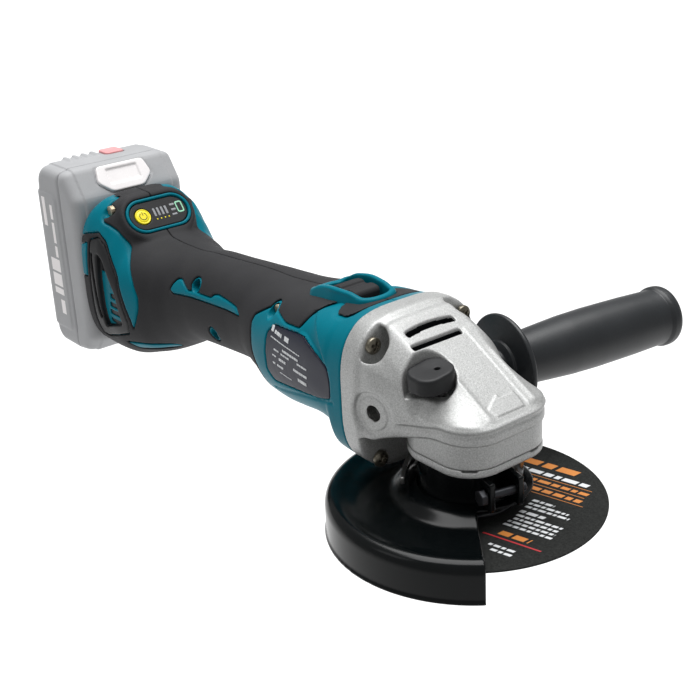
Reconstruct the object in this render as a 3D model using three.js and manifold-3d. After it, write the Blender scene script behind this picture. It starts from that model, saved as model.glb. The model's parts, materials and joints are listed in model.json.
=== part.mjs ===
// Cordless angle grinder for 125 mm wheels: die-cast gear head, two-half moulded body with soft
// grip skins, brushless motor, guard, side handle and a slide-on battery pack.
//
// Millimetres. +X points from the battery to the gear head, +Y to the side the side handle is
// fitted on, +Z up along the spindle. The origin is the centre of the spindle's end face.
import * as THREE from 'three';
import { mergeVertices } from 'three/addons/utils/BufferGeometryUtils.js';
import Module from 'manifold-3d';

const wasm = await Module();
wasm.setup();

// ---------------------------------------------------------------- driving dimensions
const GAP = 0.3;                 // clearance left between neighbouring solids
const FINEST = 0.05;             // surface detail finer than this is dropped
const SPINDLE_END = 12;          // wheel mid-plane above the spindle's end face

// wheel, spindle and gears; heights are from the wheel's mid-plane
const WHEEL_R = 62.5;
const WHEEL_T = 1.2;
const ARBOR_R = 11.4;
const THREAD_R = 6.9;            // M14
const SEAT_R = 6;                // 12 mm bearing seats
const MOTOR_Z = 46.5;            // motor axis
const CROWN_TEETH = 24;
const PINION_TEETH = 7;
const CROWN_TOP = 41.1;
const LOCK_HOLES = 8;
const LOCK_PIN = { x: -3.5, y: -13, r: 2.2 };

// gear head
const FLANGE_X = -46;            // joint face between gear housing and body
const FLANGE_T = 12;
const HEAD_FRONT = 28;
const HEAD_W = 27.5;             // half width
const COVER_TOP = 31.4;          // parting line of the bearing cover
const COVER_BOTTOM = 27.6;
const NECK_R = 21;
const NECK_BOTTOM = 8;
// head screws as [half spacing, height, name]
const HEAD_SCREWS = [[25.6, 17.6, 'lower'], [27.3, 74.6, 'upper']];
const LEVER_PIVOT = { x: -29, y: -7 };
const LEVER_TOP = 17;
const BOSS_X = -27.3;            // side-handle thread axis
const BOSS_Z = 45.1;
const BOSS_Y = 33.8;
const HUB_GAP = 0.4;             // between a boss face and the handle's hub
const ROOF = { x: -30, z: 84, slope: 0.58 };
const FLANK_SLOPE = 1.25;

// guard
const GUARD_R = 67.2;
const GUARD_RIM = -12.9;
const GUARD_AXIS_DEG = -128.5;   // middle of the covered half circle
const SHEET = 1.8;
const CLAMP_Z = 17.5;            // height of the collar's clamp bolt

// side handle
const HANDLE_SWEEP = 7.5;         // degrees that the boss faces and the handle point forward
const HANDLE_LENGTH = 116.2;

// battery pack
const PACK = { rear: -342, front: -290, half: 38.5, low: -9, high: 106 };

// body: stations along X with half width, top, bottom and squareness of the section
const BODY = [
  [-289.6, 38, 89, -1.5, 3.4], [-281, 38, 93.5, -3, 3.4], [-272, 38, 93.5, -4.4, 3.2],
  [-262, 38, 83, -3.2, 3.1], [-252, 37, 72.5, 0, 2.9], [-240, 34, 70.6, 4, 2.5],
  [-228, 30, 70.2, 9.5, 2.25], [-215, 26.5, 70.4, 16, 2.2], [-200, 24.8, 72, 21, 2.2],
  [-180, 24.3, 73.4, 22.5, 2.2], [-160, 24.4, 75, 23.8, 2.2], [-145, 26, 75.8, 24.6, 2.2],
  [-130, 30, 76, 22.2, 2.2], [-118, 32.2, 76.8, 17, 2.3], [-104, 33.6, 78.2, 18, 2.6],
  [-90, 34.8, 79.8, 20.4, 2.9], [-72, 36, 81.6, 22.8, 3.1], [-60, 36.3, 82.8, 20.6, 3.2],
  [-56, 36.4, 83.4, 10.6, 3.3], [-46.3, 36.6, 84.9, 9.6, 3.3],
];
// the hollow inside needs fewer stations behind the front panel
const CORE = BODY.filter(([x], index) => x > -120 || index % 2 === 0);
const SKIN = 1.8;                // soft grip skin
const WALL = 2.6;                // moulded body wall under the skin

// ---------------------------------------------------------------- materials
function material(color, roughness, metalness = 0) {
  return new THREE.MeshStandardMaterial({ color, roughness, metalness });
}
const CAST = material(0xb9babb, 0.42, 0.8);
const STEEL = material(0x9a9a98, 0.3, 0.95);
const DARK_STEEL = material(0x3a3b3e, 0.38, 0.85);
const BLACK_PAINT = material(0x0c0d10, 0.18, 0.3);
const TEAL = material(0x0a8797, 0.42);
const SOFT = material(0x3c3a3d, 0.78);
const HARD_BLACK = material(0x232427, 0.5);
const HANDLE = material(0x33383d, 0.5);
const ABRASIVE = material(0x37383b, 0.95);
const LABEL = material(0x2c3050, 0.4);
const YELLOW = material(0xf2dc1a, 0.4);
const COPPER = material(0xb06a3a, 0.35, 0.9);
const BOARD = material(0x1d5a35, 0.5);
const PACK_GREY = material(0xa9aaac, 0.55);
const LATCH_WHITE = material(0xeceaea, 0.5);
const PINK = material(0xd98a90, 0.5);
const BRASS = material(0xa58a55, 0.35, 0.9);
const RED = material(0xa8232a, 0.6);
const MAGNET = material(0x55585c, 0.5, 0.6);

// ---------------------------------------------------------------- geometry helpers
function weld(geometry) {
  const bare = geometry.clone();
  bare.deleteAttribute('normal');
  bare.deleteAttribute('uv');
  return mergeVertices(bare, 1e-4);
}

function solid(geometry) {
  const welded = weld(geometry);
  return new wasm.Manifold(new wasm.Mesh({
    numProp: 3,
    vertProperties: new Float32Array(welded.attributes.position.array),
    triVerts: new Uint32Array(welded.index.array),
  }));
}

function geometryOf(manifold) {
  const mesh = manifold.getMesh();
  const geometry = new THREE.BufferGeometry();
  geometry.setAttribute('position', new THREE.BufferAttribute(mesh.vertProperties, 3));
  geometry.setIndex(new THREE.BufferAttribute(mesh.triVerts, 1));
  return geometry;
}

function cut(base, ...tools) {
  return tools.reduce((rest, tool) => rest.subtract(tool), base);
}

function join(base, ...others) {
  return others.reduce((sum, other) => sum.add(other), base);
}

function box(x0, x1, y0, y1, z0, z1) {
  const geometry = new THREE.BoxGeometry(x1 - x0, y1 - y0, z1 - z0);
  return geometry.translate((x0 + x1) / 2, (y0 + y1) / 2, (z0 + z1) / 2);
}

function rodX(r, x0, x1, y, z, sides = 20) {
  const geometry = new THREE.CylinderGeometry(r, r, x1 - x0, sides);
  return geometry.rotateZ(-Math.PI / 2).translate((x0 + x1) / 2, y, z);
}

function rodY(r, y0, y1, x, z, sides = 20) {
  return new THREE.CylinderGeometry(r, r, y1 - y0, sides).translate(x, (y0 + y1) / 2, z);
}

function rodZ(r, z0, z1, x = 0, y = 0, sides = 20) {
  const geometry = new THREE.CylinderGeometry(r, r, z1 - z0, sides);
  return geometry.rotateX(Math.PI / 2).translate(x, y, (z0 + z1) / 2);
}

// a turned piece about Z from (radius, height) pairs, closed on itself or on the axis
function turned(pairs, segments = 20) {
  const profile = pairs.map(([r, z]) => new THREE.Vector2(r, z));
  if (THREE.ShapeUtils.isClockWise(profile)) profile.reverse();
  return new THREE.LatheGeometry(profile, segments).rotateX(Math.PI / 2);
}

// a turned ring about Z with a rectangular section
function ringZ(r0, r1, z0, z1, segments = 20) {
  return turned([[r0, z0], [r1, z0], [r1, z1], [r0, z1], [r0, z0]], segments);
}

// the same ring about X
function ringX(r0, r1, x0, x1, z = MOTOR_Z, segments = 20) {
  return ringZ(r0, r1, x0, x1, segments).rotateY(Math.PI / 2).translate(0, 0, z);
}

// an outline in the XY plane raised from z0 to z1
function prismZ(shape, z0, z1, curveSegments = 4) {
  const options = { depth: z1 - z0, bevelEnabled: false, curveSegments };
  return new THREE.ExtrudeGeometry(shape, options).translate(0, 0, z0);
}

// an outline drawn with x along X and y along Z, extruded along Y from y0 to y1
function prismY(shape, y0, y1, curveSegments = 4) {
  const options = { depth: y1 - y0, bevelEnabled: false, curveSegments };
  return new THREE.ExtrudeGeometry(shape, options).rotateX(Math.PI / 2).translate(0, y1, 0);
}

function outline(points) {
  return new THREE.Shape(points.map(([x, y]) => new THREE.Vector2(x, y)));
}

function roundedRect(w, h, r) {
  const shape = new THREE.Shape();
  const [x, y] = [w / 2, h / 2];
  shape.moveTo(-x + r, -y);
  shape.lineTo(x - r, -y);
  shape.absarc(x - r, -y + r, r, -Math.PI / 2, 0);
  shape.lineTo(x, y - r);
  shape.absarc(x - r, y - r, r, 0, Math.PI / 2);
  shape.lineTo(-x + r, y);
  shape.absarc(-x + r, y - r, r, Math.PI / 2, Math.PI);
  shape.lineTo(-x, -y + r);
  shape.absarc(-x + r, -y + r, r, Math.PI, 1.5 * Math.PI);
  return shape;
}

// a closed loft along X through superellipse stations [x, halfWidth, top, bottom, power]
function loft(stations, inset = 0, sides = 20) {
  const last = stations.length - 1;
  const geometry = new THREE.CylinderGeometry(1, 1, 1, sides, last);
  const position = geometry.attributes.position;
  for (let i = 0; i < position.count; i += 1) {
    const across = position.getX(i);
    const up = position.getZ(i);
    const [x, half, top, bottom, power] = stations[Math.round((0.5 - position.getY(i)) * last)];
    const middle = (top + bottom) / 2;
    if (Math.hypot(across, up) < 0.5) {
      position.setXYZ(i, x, 0, middle);
      continue;
    }
    const bend = (value) => Math.sign(value) * Math.abs(value) ** (2 / power);
    const y = (half - inset) * bend(across);
    const z = middle + ((top - bottom) / 2 - inset) * bend(up);
    position.setXYZ(i, x, y, z);
  }
  return geometry;
}

// a helical wire about Z
class Helix extends THREE.Curve {
  constructor(radius, z0, z1, turns) {
    super();
    Object.assign(this, { radius, z0, z1, turns });
  }

  getPoint(t, target = new THREE.Vector3()) {
    const angle = 2 * Math.PI * this.turns * t;
    const z = this.z0 + (this.z1 - this.z0) * t;
    return target.set(this.radius * Math.cos(angle), this.radius * Math.sin(angle), z);
  }
}

function circle(r, sides) {
  const points = [];
  for (let i = 0; i < sides; i += 1) {
    const angle = (2 * Math.PI * i) / sides;
    points.push([r * Math.cos(angle), r * Math.sin(angle)]);
  }
  return outline(points);
}

function tubeAlong(path, r, steps, sides = 6) {
  return new THREE.ExtrudeGeometry(circle(r, sides), { steps, extrudePath: path });
}

// ---------------------------------------------------------------- scene
const grinder = new THREE.Group();
grinder.position.z = SPINDLE_END;

function add(name, shape, mat, parent = grinder) {
  const geometry = shape.isBufferGeometry ? weld(shape) : geometryOf(shape.simplify(FINEST));
  const mesh = new THREE.Mesh(geometry, mat);
  mesh.name = name;
  parent.add(mesh);
  return mesh;
}

// ---------------------------------------------------------------- gear head
function headOutline(grow = 0, rearCut = 0) {
  const corner = 17;
  const [front, half] = [HEAD_FRONT + grow, HEAD_W + grow];
  const shape = new THREE.Shape();
  shape.moveTo(-32.5, -half + rearCut);
  shape.lineTo(-32.5 + rearCut, -half);
  shape.lineTo(front - corner, -half);
  shape.absarc(front - corner, -half + corner, corner, -Math.PI / 2, 0);
  shape.absarc(front - corner, half - corner, corner, 0, Math.PI / 2);
  shape.lineTo(-32.5 + rearCut, half);
  shape.lineTo(-32.5, half - rearCut);
  return shape;
}

function roofHeight(x) {
  return ROOF.z - ROOF.slope * (x - ROOF.x);
}

function roofCutter() {
  const [low, high] = [-60, 60];
  const wedge = outline([[low, roofHeight(low)], [high, roofHeight(high)], [high, 140], [low, 140]]);
  return solid(prismY(wedge, -60, 60));
}

// removes the corner above a flank, which falls from the roof's edge and fades out at the nose
function flankCutter(side) {
  const edge = side > 0 ? 16.4 : 13;
  const [rear, middle, front, wide, top] = [FLANGE_X + FLANGE_T, 2, HEAD_FRONT, 44, 95];
  const corners = (x, y, z) => [[x, side * y, z], [x, side * y, top]];
  const fall = (x) => roofHeight(x) - FLANK_SLOPE * (wide - edge);
  const behind = wasm.Manifold.hull([
    ...corners(rear, edge, roofHeight(rear)), ...corners(rear, wide, fall(rear)),
    ...corners(middle, edge, roofHeight(middle)), ...corners(middle, wide, fall(middle)),
  ]);
  const atWall = roofHeight(middle) - FLANK_SLOPE * (HEAD_W - edge);
  const ahead = wasm.Manifold.hull([
    ...corners(middle, edge, roofHeight(middle)), ...corners(middle, HEAD_W + 1, atWall - FLANK_SLOPE),
    ...corners(front, HEAD_W, roofHeight(front)), ...corners(front, HEAD_W + 1, roofHeight(front)),
  ]);
  return [behind, ahead];
}

// a rod along a side-handle boss's axis, between depths measured outwards from the boss face
function bossRod(side, r, inner, outer) {
  const [y0, y1] = side > 0 ? [inner, outer] : [-outer, -inner];
  return solid(rodY(r, y0, y1, 0, 0, 24)).rotate([0, 0, -side * HANDLE_SWEEP])
    .translate([BOSS_X, side * BOSS_Y, BOSS_Z]);
}

function buildGearHousing() {
  const flangeFront = FLANGE_X + FLANGE_T;
  const rear = solid(loft([
    [FLANGE_X, 36.8, 85.2, 9.6, 3.3], [-37, 37, 85.7, 9.4, 3.3], [-30, 35.6, 84.6, 14, 3.1],
    [-18, 32, 80, 20, 2.8], [-4, 29.2, 74, 22, 2.6], [8, 27.5, 68, 23, 2.6],
  ]));
  const head = solid(prismZ(headOutline(0, 2), COVER_TOP + GAP, 72));
  const shaped = cut(join(rear, head), ...flankCutter(-1), ...flankCutter(1));
  const cutters = [
    roofCutter(),
    solid(box(flangeFront, 60, -60, 60, 0, COVER_TOP + GAP)),
    solid(rodX(27, FLANGE_X - 1, -36.8, 0, MOTOR_Z, 32)),
    solid(rodX(13.4, -38, -23, 0, MOTOR_Z)),
    solid(rodX(8, -24, -10, 0, MOTOR_Z)),
    solid(rodZ(23.5, 20, 50, 0, 0, 36)),
    solid(rodZ(8.3, 45, 59)),
    solid(box(-34, -12, -16.5, 10, 61, 68)),
    solid(box(-23.2, -20, -17.5, 10, 65, 90)),
    solid(box(-16.4, -13.8, -19.5, 9, 65, 90)),
    solid(rodZ(LOCK_PIN.r + GAP, 45, 60, LOCK_PIN.x, LOCK_PIN.y, 16)),
    solid(prismZ(roundedRect(18.4, 21.4, 8.5), 58, 90).translate(-4, -17.5, 0)),
    solid(box(flangeFront, -19, -45, -23.5, 20, 34)),
    solid(box(flangeFront, -19, 23.5, 45, 20, 34)),
  ];
  for (const side of [-1, 1]) {
    for (const [y, z] of HEAD_SCREWS) {
      cutters.push(solid(rodX(6.4, flangeFront, -8, side * y, z, 16)));
      cutters.push(solid(rodX(2.4, FLANGE_X - 1, flangeFront + 1, side * y, z, 12)));
    }
    cutters.push(bossRod(side, 3.8, -9.8, 16), bossRod(side, 8.6, 0, 16));
  }
  const bosses = [-1, 1].map((side) => bossRod(side, 8, -9.8, 0));
  add('gear_housing', cut(join(shaped, ...bosses), ...cutters), CAST);
}

function buildBearingCover() {
  const { x, y } = LEVER_PIVOT;
  const plate = solid(prismZ(headOutline(0.4, 12), COVER_BOTTOM, COVER_TOP));
  const neck = solid(rodZ(NECK_R, NECK_BOTTOM, COVER_BOTTOM + 1, 0, 0, 40));
  const leverBoss = solid(rodZ(3.6, LEVER_TOP + GAP, COVER_BOTTOM + 1, x, y, 20));
  const bearingPocket = solid(rodZ(16.3, 12, 40, 0, 0, 32));
  const gearRecess = solid(rodZ(23.5, 30, 40, 0, 0, 36));
  const mouth = solid(rodZ(11, 0, 40));
  const pivotHole = solid(rodZ(2.3, 10, 40, x, y, 12));
  const body = join(plate, neck, leverBoss);
  add('bearing_cover', cut(body, bearingPocket, gearRecess, mouth, pivotHole), CAST);
}

function buildHeadScrews() {
  const head = FLANGE_X + FLANGE_T + GAP;
  const names = { '-1': 'right', 1: 'left' };
  for (const side of [-1, 1]) {
    for (const [y, z, where] of HEAD_SCREWS) {
      const cross = join(solid(box(head + 1.6, head + 5, -0.6, 0.6, -2, 2)),
        solid(box(head + 1.6, head + 5, -2, 2, -0.6, 0.6)));
      const body = join(solid(rodX(4, head, head + 3, 0, 0, 16)),
        solid(rodX(1.9, FLANGE_X + 1, head + 1, 0, 0, 10)));
      const screw = add(`head_screw_${where}_${names[side]}`, cut(body, cross), BRASS);
      screw.position.set(0, side * y, z);
    }
  }
}

// ---------------------------------------------------------------- spindle group
function buildSpindle() {
  const thread = THREAD_R;
  add('spindle', turned([
    [0, -SPINDLE_END], [thread - 1, -SPINDLE_END], [thread, -SPINDLE_END + 1], [thread, 9],
    [SEAT_R, 9], [SEAT_R, 24], [SEAT_R + 0.8, 24], [SEAT_R + 0.8, 30], [SEAT_R, 30],
    [SEAT_R, 42], [4.6, 42], [4.6, 57], [0, 57],
  ]), STEEL);
  add('lower_spindle_bearing', ringZ(SEAT_R + GAP, 16, 12.3, 22.3), STEEL);
  add('upper_spindle_bearing', ringZ(4.9, 8, 50.5, 58.5, 24), STEEL);
  add('inner_flange', turned([
    [THREAD_R + GAP, -0.3], [11, -0.3], [11, 0.9], [21, 0.9], [21, 2.6], [17, 4.4],
    [13, 6.5], [THREAD_R + GAP, 6.5], [THREAD_R + GAP, -0.3],
  ], 28), DARK_STEEL);
  add('cutting_wheel', ringZ(ARBOR_R, WHEEL_R, -WHEEL_T / 2, WHEEL_T / 2, 60), ABRASIVE);
  const nut = solid(turned([
    [THREAD_R + GAP, -8.5], [14, -8.5], [16, -7.4], [20, -4], [20, -0.9],
    [THREAD_R + GAP, -0.9], [THREAD_R + GAP, -8.5],
  ], 28));
  const pinHoles = [0, 1, 2, 3].map((i) => {
    const angle = (i * Math.PI) / 2;
    return solid(rodZ(2, -10, -5.5, 11.5 * Math.cos(angle), 11.5 * Math.sin(angle), 10));
  });
  add('clamp_nut', cut(nut, ...pinHoles), DARK_STEEL);
}

function buildCrownGear() {
  const pitch = (2 * Math.PI) / CROWN_TEETH;
  const rim = { inner: 17.4, outer: 21.6 };
  const blank = solid(turned([
    [SEAT_R + GAP, 31], [20.4, 31], [rim.outer, 34], [rim.outer, CROWN_TOP - 2],
    [9.2, CROWN_TOP - 2], [9.2, 41.6], [SEAT_R + GAP, 41.6], [SEAT_R + GAP, 31],
  ], CROWN_TEETH));
  const teeth = [];
  for (let i = 0; i < CROWN_TEETH; i += 1) {
    const profile = outline([
      [-1, CROWN_TOP - 2.4], [1, CROWN_TOP - 2.4], [0.55, CROWN_TOP], [-0.55, CROWN_TOP],
    ]);
    const tooth = prismY(profile, rim.inner + 0.1, rim.outer - 0.1);
    teeth.push(solid(tooth.rotateZ(Math.PI / 2 + (i + 0.5) * pitch)));
  }
  const holes = [];
  const phase = Math.atan2(LOCK_PIN.y, LOCK_PIN.x);
  const holeRadius = Math.hypot(LOCK_PIN.x, LOCK_PIN.y);
  for (let i = 0; i < LOCK_HOLES; i += 1) {
    const angle = phase + (i * 2 * Math.PI) / LOCK_HOLES;
    const [x, y] = [holeRadius * Math.cos(angle), holeRadius * Math.sin(angle)];
    holes.push(solid(rodZ(LOCK_PIN.r + 0.5, 34, 40, x, y, 10)));
  }
  add('crown_gear', cut(join(blank, ...teeth), ...holes), STEEL);
}

// ---------------------------------------------------------------- motor
function buildMotor() {
  const shaft = turned([
    [0, -128], [3, -128], [3, -118], [3.9, -118], [3.9, -24], [2.6, -24],
    [2.6, -16], [0, -16],
  ], 20).rotateY(Math.PI / 2);
  add('motor_shaft', shaft.translate(0, 0, MOTOR_Z), STEEL);
  add('pinion_bearing', ringX(4.2, 13, -32.6, -24.6), STEEL);
  add('rear_motor_bearing', ringX(3.3, 9.5, -127, -120), STEEL);
  add('rotor', ringX(4.2, 11.4, -103, -61), MAGNET);
  const pinionTeeth = [];
  for (let i = 0; i < PINION_TEETH; i += 1) {
    const profile = outline([[-1, 3.9], [1, 3.9], [0.5, 6.5], [-0.5, 6.5]]);
    const tooth = prismY(profile, 16.3, 21.9).rotateZ(Math.PI / 2);
    const down = Math.PI + (i * 2 * Math.PI) / PINION_TEETH;
    pinionTeeth.push(solid(tooth.rotateX(down)));
  }
  const hub = solid(ringZ(2.9, 4.4, -23, -16.4, 18).rotateY(Math.PI / 2));
  const pinion = add('pinion', join(hub, ...pinionTeeth), STEEL);
  pinion.position.z = MOTOR_Z;
  const blades = [];
  for (let i = 0; i < 7; i += 1) {
    const blade = box(-46, -37.5, -0.7, 0.7, 8, 23.5);
    blades.push(solid(blade.rotateX((i * 2 * Math.PI) / 7)));
  }
  const disc = solid(ringZ(4.2, 23.5, -49, -46).rotateY(Math.PI / 2));
  const fanHub = solid(ringZ(4.2, 9, -49, -37.5, 24).rotateY(Math.PI / 2));
  const fan = add('cooling_fan', join(disc, fanHub, ...blades), HARD_BLACK);
  fan.position.z = MOTOR_Z;
  const core = solid(ringX(12.1, 19, -104, -60));
  const slots = [];
  for (let i = 0; i < 6; i += 1) {
    const slot = box(-112, -58, -2.2, 2.2, 13.4, 17.6);
    slots.push(solid(slot.rotateX((i * Math.PI) / 3).translate(0, 0, MOTOR_Z)));
  }
  add('stator', cut(core, ...slots), DARK_STEEL);
  const coilBars = [];
  for (let i = 0; i < 6; i += 1) {
    const bar = box(-108, -56, -1.8, 1.8, 13.8, 16.6);
    coilBars.push(solid(bar.rotateX((i * Math.PI) / 3).translate(0, 0, MOTOR_Z)));
  }
  const frontRing = solid(ringX(13, 18, -59.6, -54));
  const rearRing = solid(ringX(13, 17.6, -111, -104.4));
  add('stator_winding', join(frontRing, rearRing, ...coilBars), COPPER);
}

// ---------------------------------------------------------------- body halves and grip skins
// side regions where the hard shell comes through to the surface, as (x, z) outlines
const FRONT_PANEL = [
  [-44, 0], [-44, 100], [-52, 100], [-54, 82], [-57, 80], [-64, 79.3], [-71.4, 81.2],
  [-76.6, 79.2], [-79.9, 75.9], [-82.3, 69.9], [-95.8, 68.5], [-107.7, 69.8],
  [-117, 69], [-126.3, 63.5], [-127.5, 59.8], [-126.3, 54], [-125.5, 45.8],
  [-122.6, 38.8], [-118, 29], [-112, 18], [-108, 0],
];
const GRIP_INLAY = [
  [-212.7, 53.6], [-210.9, 57.4], [-208.1, 60.2], [-204.6, 61.1], [-196.3, 57],
  [-187.3, 57.8], [-174, 58.5], [-171.6, 60.6], [-167.4, 61.6], [-147.6, 60.6],
  [-143, 57.1], [-170.7, 55.5], [-193.7, 54], [-209.8, 52.1],
];
const REAR_TRIM = [
  [-300, 66], [-300, 92], [-275.4, 91.6], [-274.2, 87.1], [-272.8, 81.5], [-268.8, 78.8],
  [-263.5, 78.9], [-255.2, 68.7], [-236.3, 41.7], [-236.8, 38.1], [-239.4, 30.3],
  [-243.4, 23.7], [-243.7, 28.5], [-267.6, 71], [-271.4, 75.4], [-284.2, 71.9],
  [-289.2, 69.4],
];
const REAR_STRIP = [[-300, 47], [-283.2, 47.3], [-281.2, 68.4], [-289, 66], [-300, 62]];
const PANELS = [FRONT_PANEL, GRIP_INLAY, REAR_TRIM, REAR_STRIP];
const DATA_PLATE = [
  [-104.9, 65], [-81.3, 67.9], [-76.6, 68], [-67, 63.9], [-57, 59], [-55.2, 53.4],
  [-55.2, 43.6], [-65.1, 40.7], [-105, 36.2], [-110.3, 40.4], [-110.7, 49.9],
  [-109.9, 60.2],
];
const VENT = [
  [-278.5, 70], [-271.4, 72.4], [-248.5, 40.5], [-247, 24], [-249, 19.5], [-276, 10.5],
  [-281.5, 11], [-280.6, 46],
];

function sideRegion(points, side, grow = 0) {
  const shape = outline(points);
  const [y0, y1] = side > 0 ? [14, 60] : [-60, -14];
  const region = solid(prismY(shape, y0, y1));
  if (grow === 0) return region;
  const moved = [[grow, 0], [-grow, 0], [0, grow], [0, -grow]].map(([x, z]) => (
    region.translate([x, 0, z])));
  return join(region, ...moved);
}

function halfSpace(side) {
  const [y0, y1] = side > 0 ? [GAP / 2, 80] : [-80, -GAP / 2];
  return solid(box(-400, 100, y0, y1, -60, 160));
}

function extend(stations) {
  const first = stations[0];
  const last = stations[stations.length - 1];
  return [[first[0] - 5, ...first.slice(1)], ...stations, [last[0] + 5, ...last.slice(1)]];
}

function buildBody() {
  const outer = solid(loft(BODY));
  const underSkin = solid(loft(extend(BODY), SKIN + GAP));
  const core = solid(loft(extend(CORE), SKIN + WALL));
  const rearFace = solid(loft(BODY, SKIN + GAP)).intersect(solid(box(-300, -283, -60, 60, -20, 120)));
  const shell = underSkin.subtract(core).intersect(outer).add(rearFace);
  const skin = outer.subtract(solid(loft(extend(BODY), SKIN)));
  const switchWell = solid(prismZ(switchOutline(-GAP), 70, 100));
  const railChannel = solid(box(-296, -285.2, -26, 26, 6, 120));
  const platePocketFloor = solid(loft(extend(BODY), 0.8 + GAP));
  const terminalWindow = solid(box(-296, -270, -16, 16, 44, 58));
  const displayWell = displayFrame(solid(prismZ(roundedRect(22, 42, 10.9), -6, 8)));
  for (const side of [-1, 1]) {
    const name = side > 0 ? 'left' : 'right';
    const regions = PANELS.map((points) => sideRegion(points, side));
    const grown = PANELS.map((points) => sideRegion(points, side, GAP));
    const vent = sideRegion(VENT, side);
    const inlays = join(...regions).intersect(outer).subtract(core);
    const wells = bodyScrewWells(side);
    const half = halfSpace(side);
    const platePocket = sideRegion(DATA_PLATE, side, GAP).subtract(platePocketFloor);
    const openings = [
      switchWell, displayWell, vent, railChannel, terminalWindow, platePocket, ...wells,
    ];
    const shellHalf = cut(join(shell, inlays), ...openings);
    add(`body_shell_${name}`, biggest(shellHalf.intersect(half)), TEAL);
    const skinHalf = cut(skin, ...grown, ...openings);
    add(`grip_skin_${name}`, biggest(skinHalf.intersect(half)), SOFT);
    buildVentGrille(side, name, outer);
    buildDataPlate(side, name, outer);
  }
}

// keeps the largest piece of a solid that a cut has left in several
function biggest(manifold) {
  const pieces = manifold.decompose();
  return pieces.reduce((best, piece) => (piece.volume() > best.volume() ? piece : best));
}

// body screws as [x, z, depth of the head seat from the seam plane]
const BODY_SCREWS = [[-190, 60.6, 13.6], [-174, 37.6, 16.6], [-112.4, 68.4, 19.6], [-271.6, 86.6, 22]];

function bodyScrewWells(side) {
  return BODY_SCREWS.flatMap(([x, z, seat]) => {
    const well = side > 0 ? [seat, 60] : [-60, -seat];
    const hole = side > 0 ? [0, 12.3] : [-seat - 1, 0.5];
    return [solid(rodY(3.4, ...well, x, z, 14)), solid(rodY(1.8, ...hole, x, z, 10))];
  });
}

function buildBodyScrews() {
  BODY_SCREWS.forEach(([x, z, seat], index) => {
    const head = solid(rodY(2.8, -seat - 2.6, -seat - GAP, x, z, 12));
    const shank = solid(rodY(1.4, -seat - 1, 12, x, z, 8));
    add(`body_screw_${index + 1}`, join(head, shank), BRASS);
  });
}

function buildVentGrille(side, name, outer) {
  const frame = sideRegion(VENT, side);
  const inside = solid(loft(extend(BODY), 5));
  const slots = [];
  for (let i = 0; i < 7; i += 1) {
    const z = 20 + i * 5;
    slots.push(solid(box(-266 + i * 0.6, -253 - i * 1.6, -60, 60, z, z + 2.6)));
  }
  const shrink = [[0.4, 0], [-0.4, 0], [0, 0.4], [0, -0.4]].map(([x, z]) => (
    frame.translate([x, 0, z])));
  const fitted = shrink.reduce((a, b) => a.intersect(b));
  const outerSkin = solid(loft(extend(BODY), 2.4));
  const panel = fitted.intersect(outerSkin).subtract(inside).intersect(outer);
  add(`vent_grille_${name}`, biggest(cut(panel, ...slots)), HARD_BLACK);
}

// a data plate lies in a shallow pocket of each side panel and follows its surface
function buildDataPlate(side, name, outer) {
  const plate = sideRegion(DATA_PLATE, side).intersect(outer).subtract(solid(loft(extend(BODY), 0.8)));
  add(`data_plate_${name}`, biggest(plate), LABEL);
}

// ---------------------------------------------------------------- switch
const SWITCH = {
  // half of the frame's outline as (x, y), and its top edge as (x, z)
  half: [[-101, 0], [-97.4, 12.4], [-79, 13.2], [-60, 11], [-57.6, 0]],
  top: [[-101, 79.8], [-79, 85.2], [-57.6, 84.2]],
  rim: 3,
  bottom: 73,
};

// the frame's outline, drawn in by inset all round
function switchOutline(inset = 0) {
  const centre = -79;
  const reach = 21.7;
  const scale = [1 - inset / reach, 1 - inset / 13.2];
  const half = SWITCH.half.map(([x, y]) => [centre + (x - centre) * scale[0], y * scale[1]]);
  const mirrored = half.slice(1, -1).reverse().map(([x, y]) => [x, -y]);
  return outline([...half, ...mirrored]);
}

function buildSwitch() {
  const profile = outline([[-103, SWITCH.bottom], ...SWITCH.top, [-55, SWITCH.bottom]]);
  const block = solid(prismZ(switchOutline(), SWITCH.bottom, 90));
  const opening = solid(prismZ(switchOutline(SWITCH.rim), 60, 100));
  const frame = block.intersect(solid(prismY(profile, -20, 20)));
  add('switch_frame', cut(frame, opening), TEAL);
  const slider = outline([
    [-91, 77.3], [-91, 81], [-86, 83.6], [-81.5, 84.4], [-80.5, 82.4], [-75, 82.6],
    [-74, 84.2], [-68.5, 84], [-68, 77.3],
  ]);
  add('switch_slider', prismY(slider, -7.6, 7.6), SOFT);
  const rod = outline([
    [-78, 77], [-85, 77], [-91, 71.9], [-121, 71.9], [-131, 69.4], [-151.6, 67],
    [-151.6, 65], [-131, 67.4], [-122, 70.2], [-90, 70.2], [-84, 75], [-78, 75],
  ]);
  add('switch_rod', prismY(rod, -2.5, 2.5), HARD_BLACK);
}

// ---------------------------------------------------------------- display
const DISPLAY = { x: -261.6, z: 83.6, tilt: Math.atan2(23.2, 19.9) };

// puts a shape drawn flat about the origin onto the sloping display face
function displayFrame(shape) {
  const tilt = (DISPLAY.tilt * 180) / Math.PI;
  return shape.rotate([0, tilt, 0]).translate([DISPLAY.x, 0, DISPLAY.z]);
}

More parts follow.
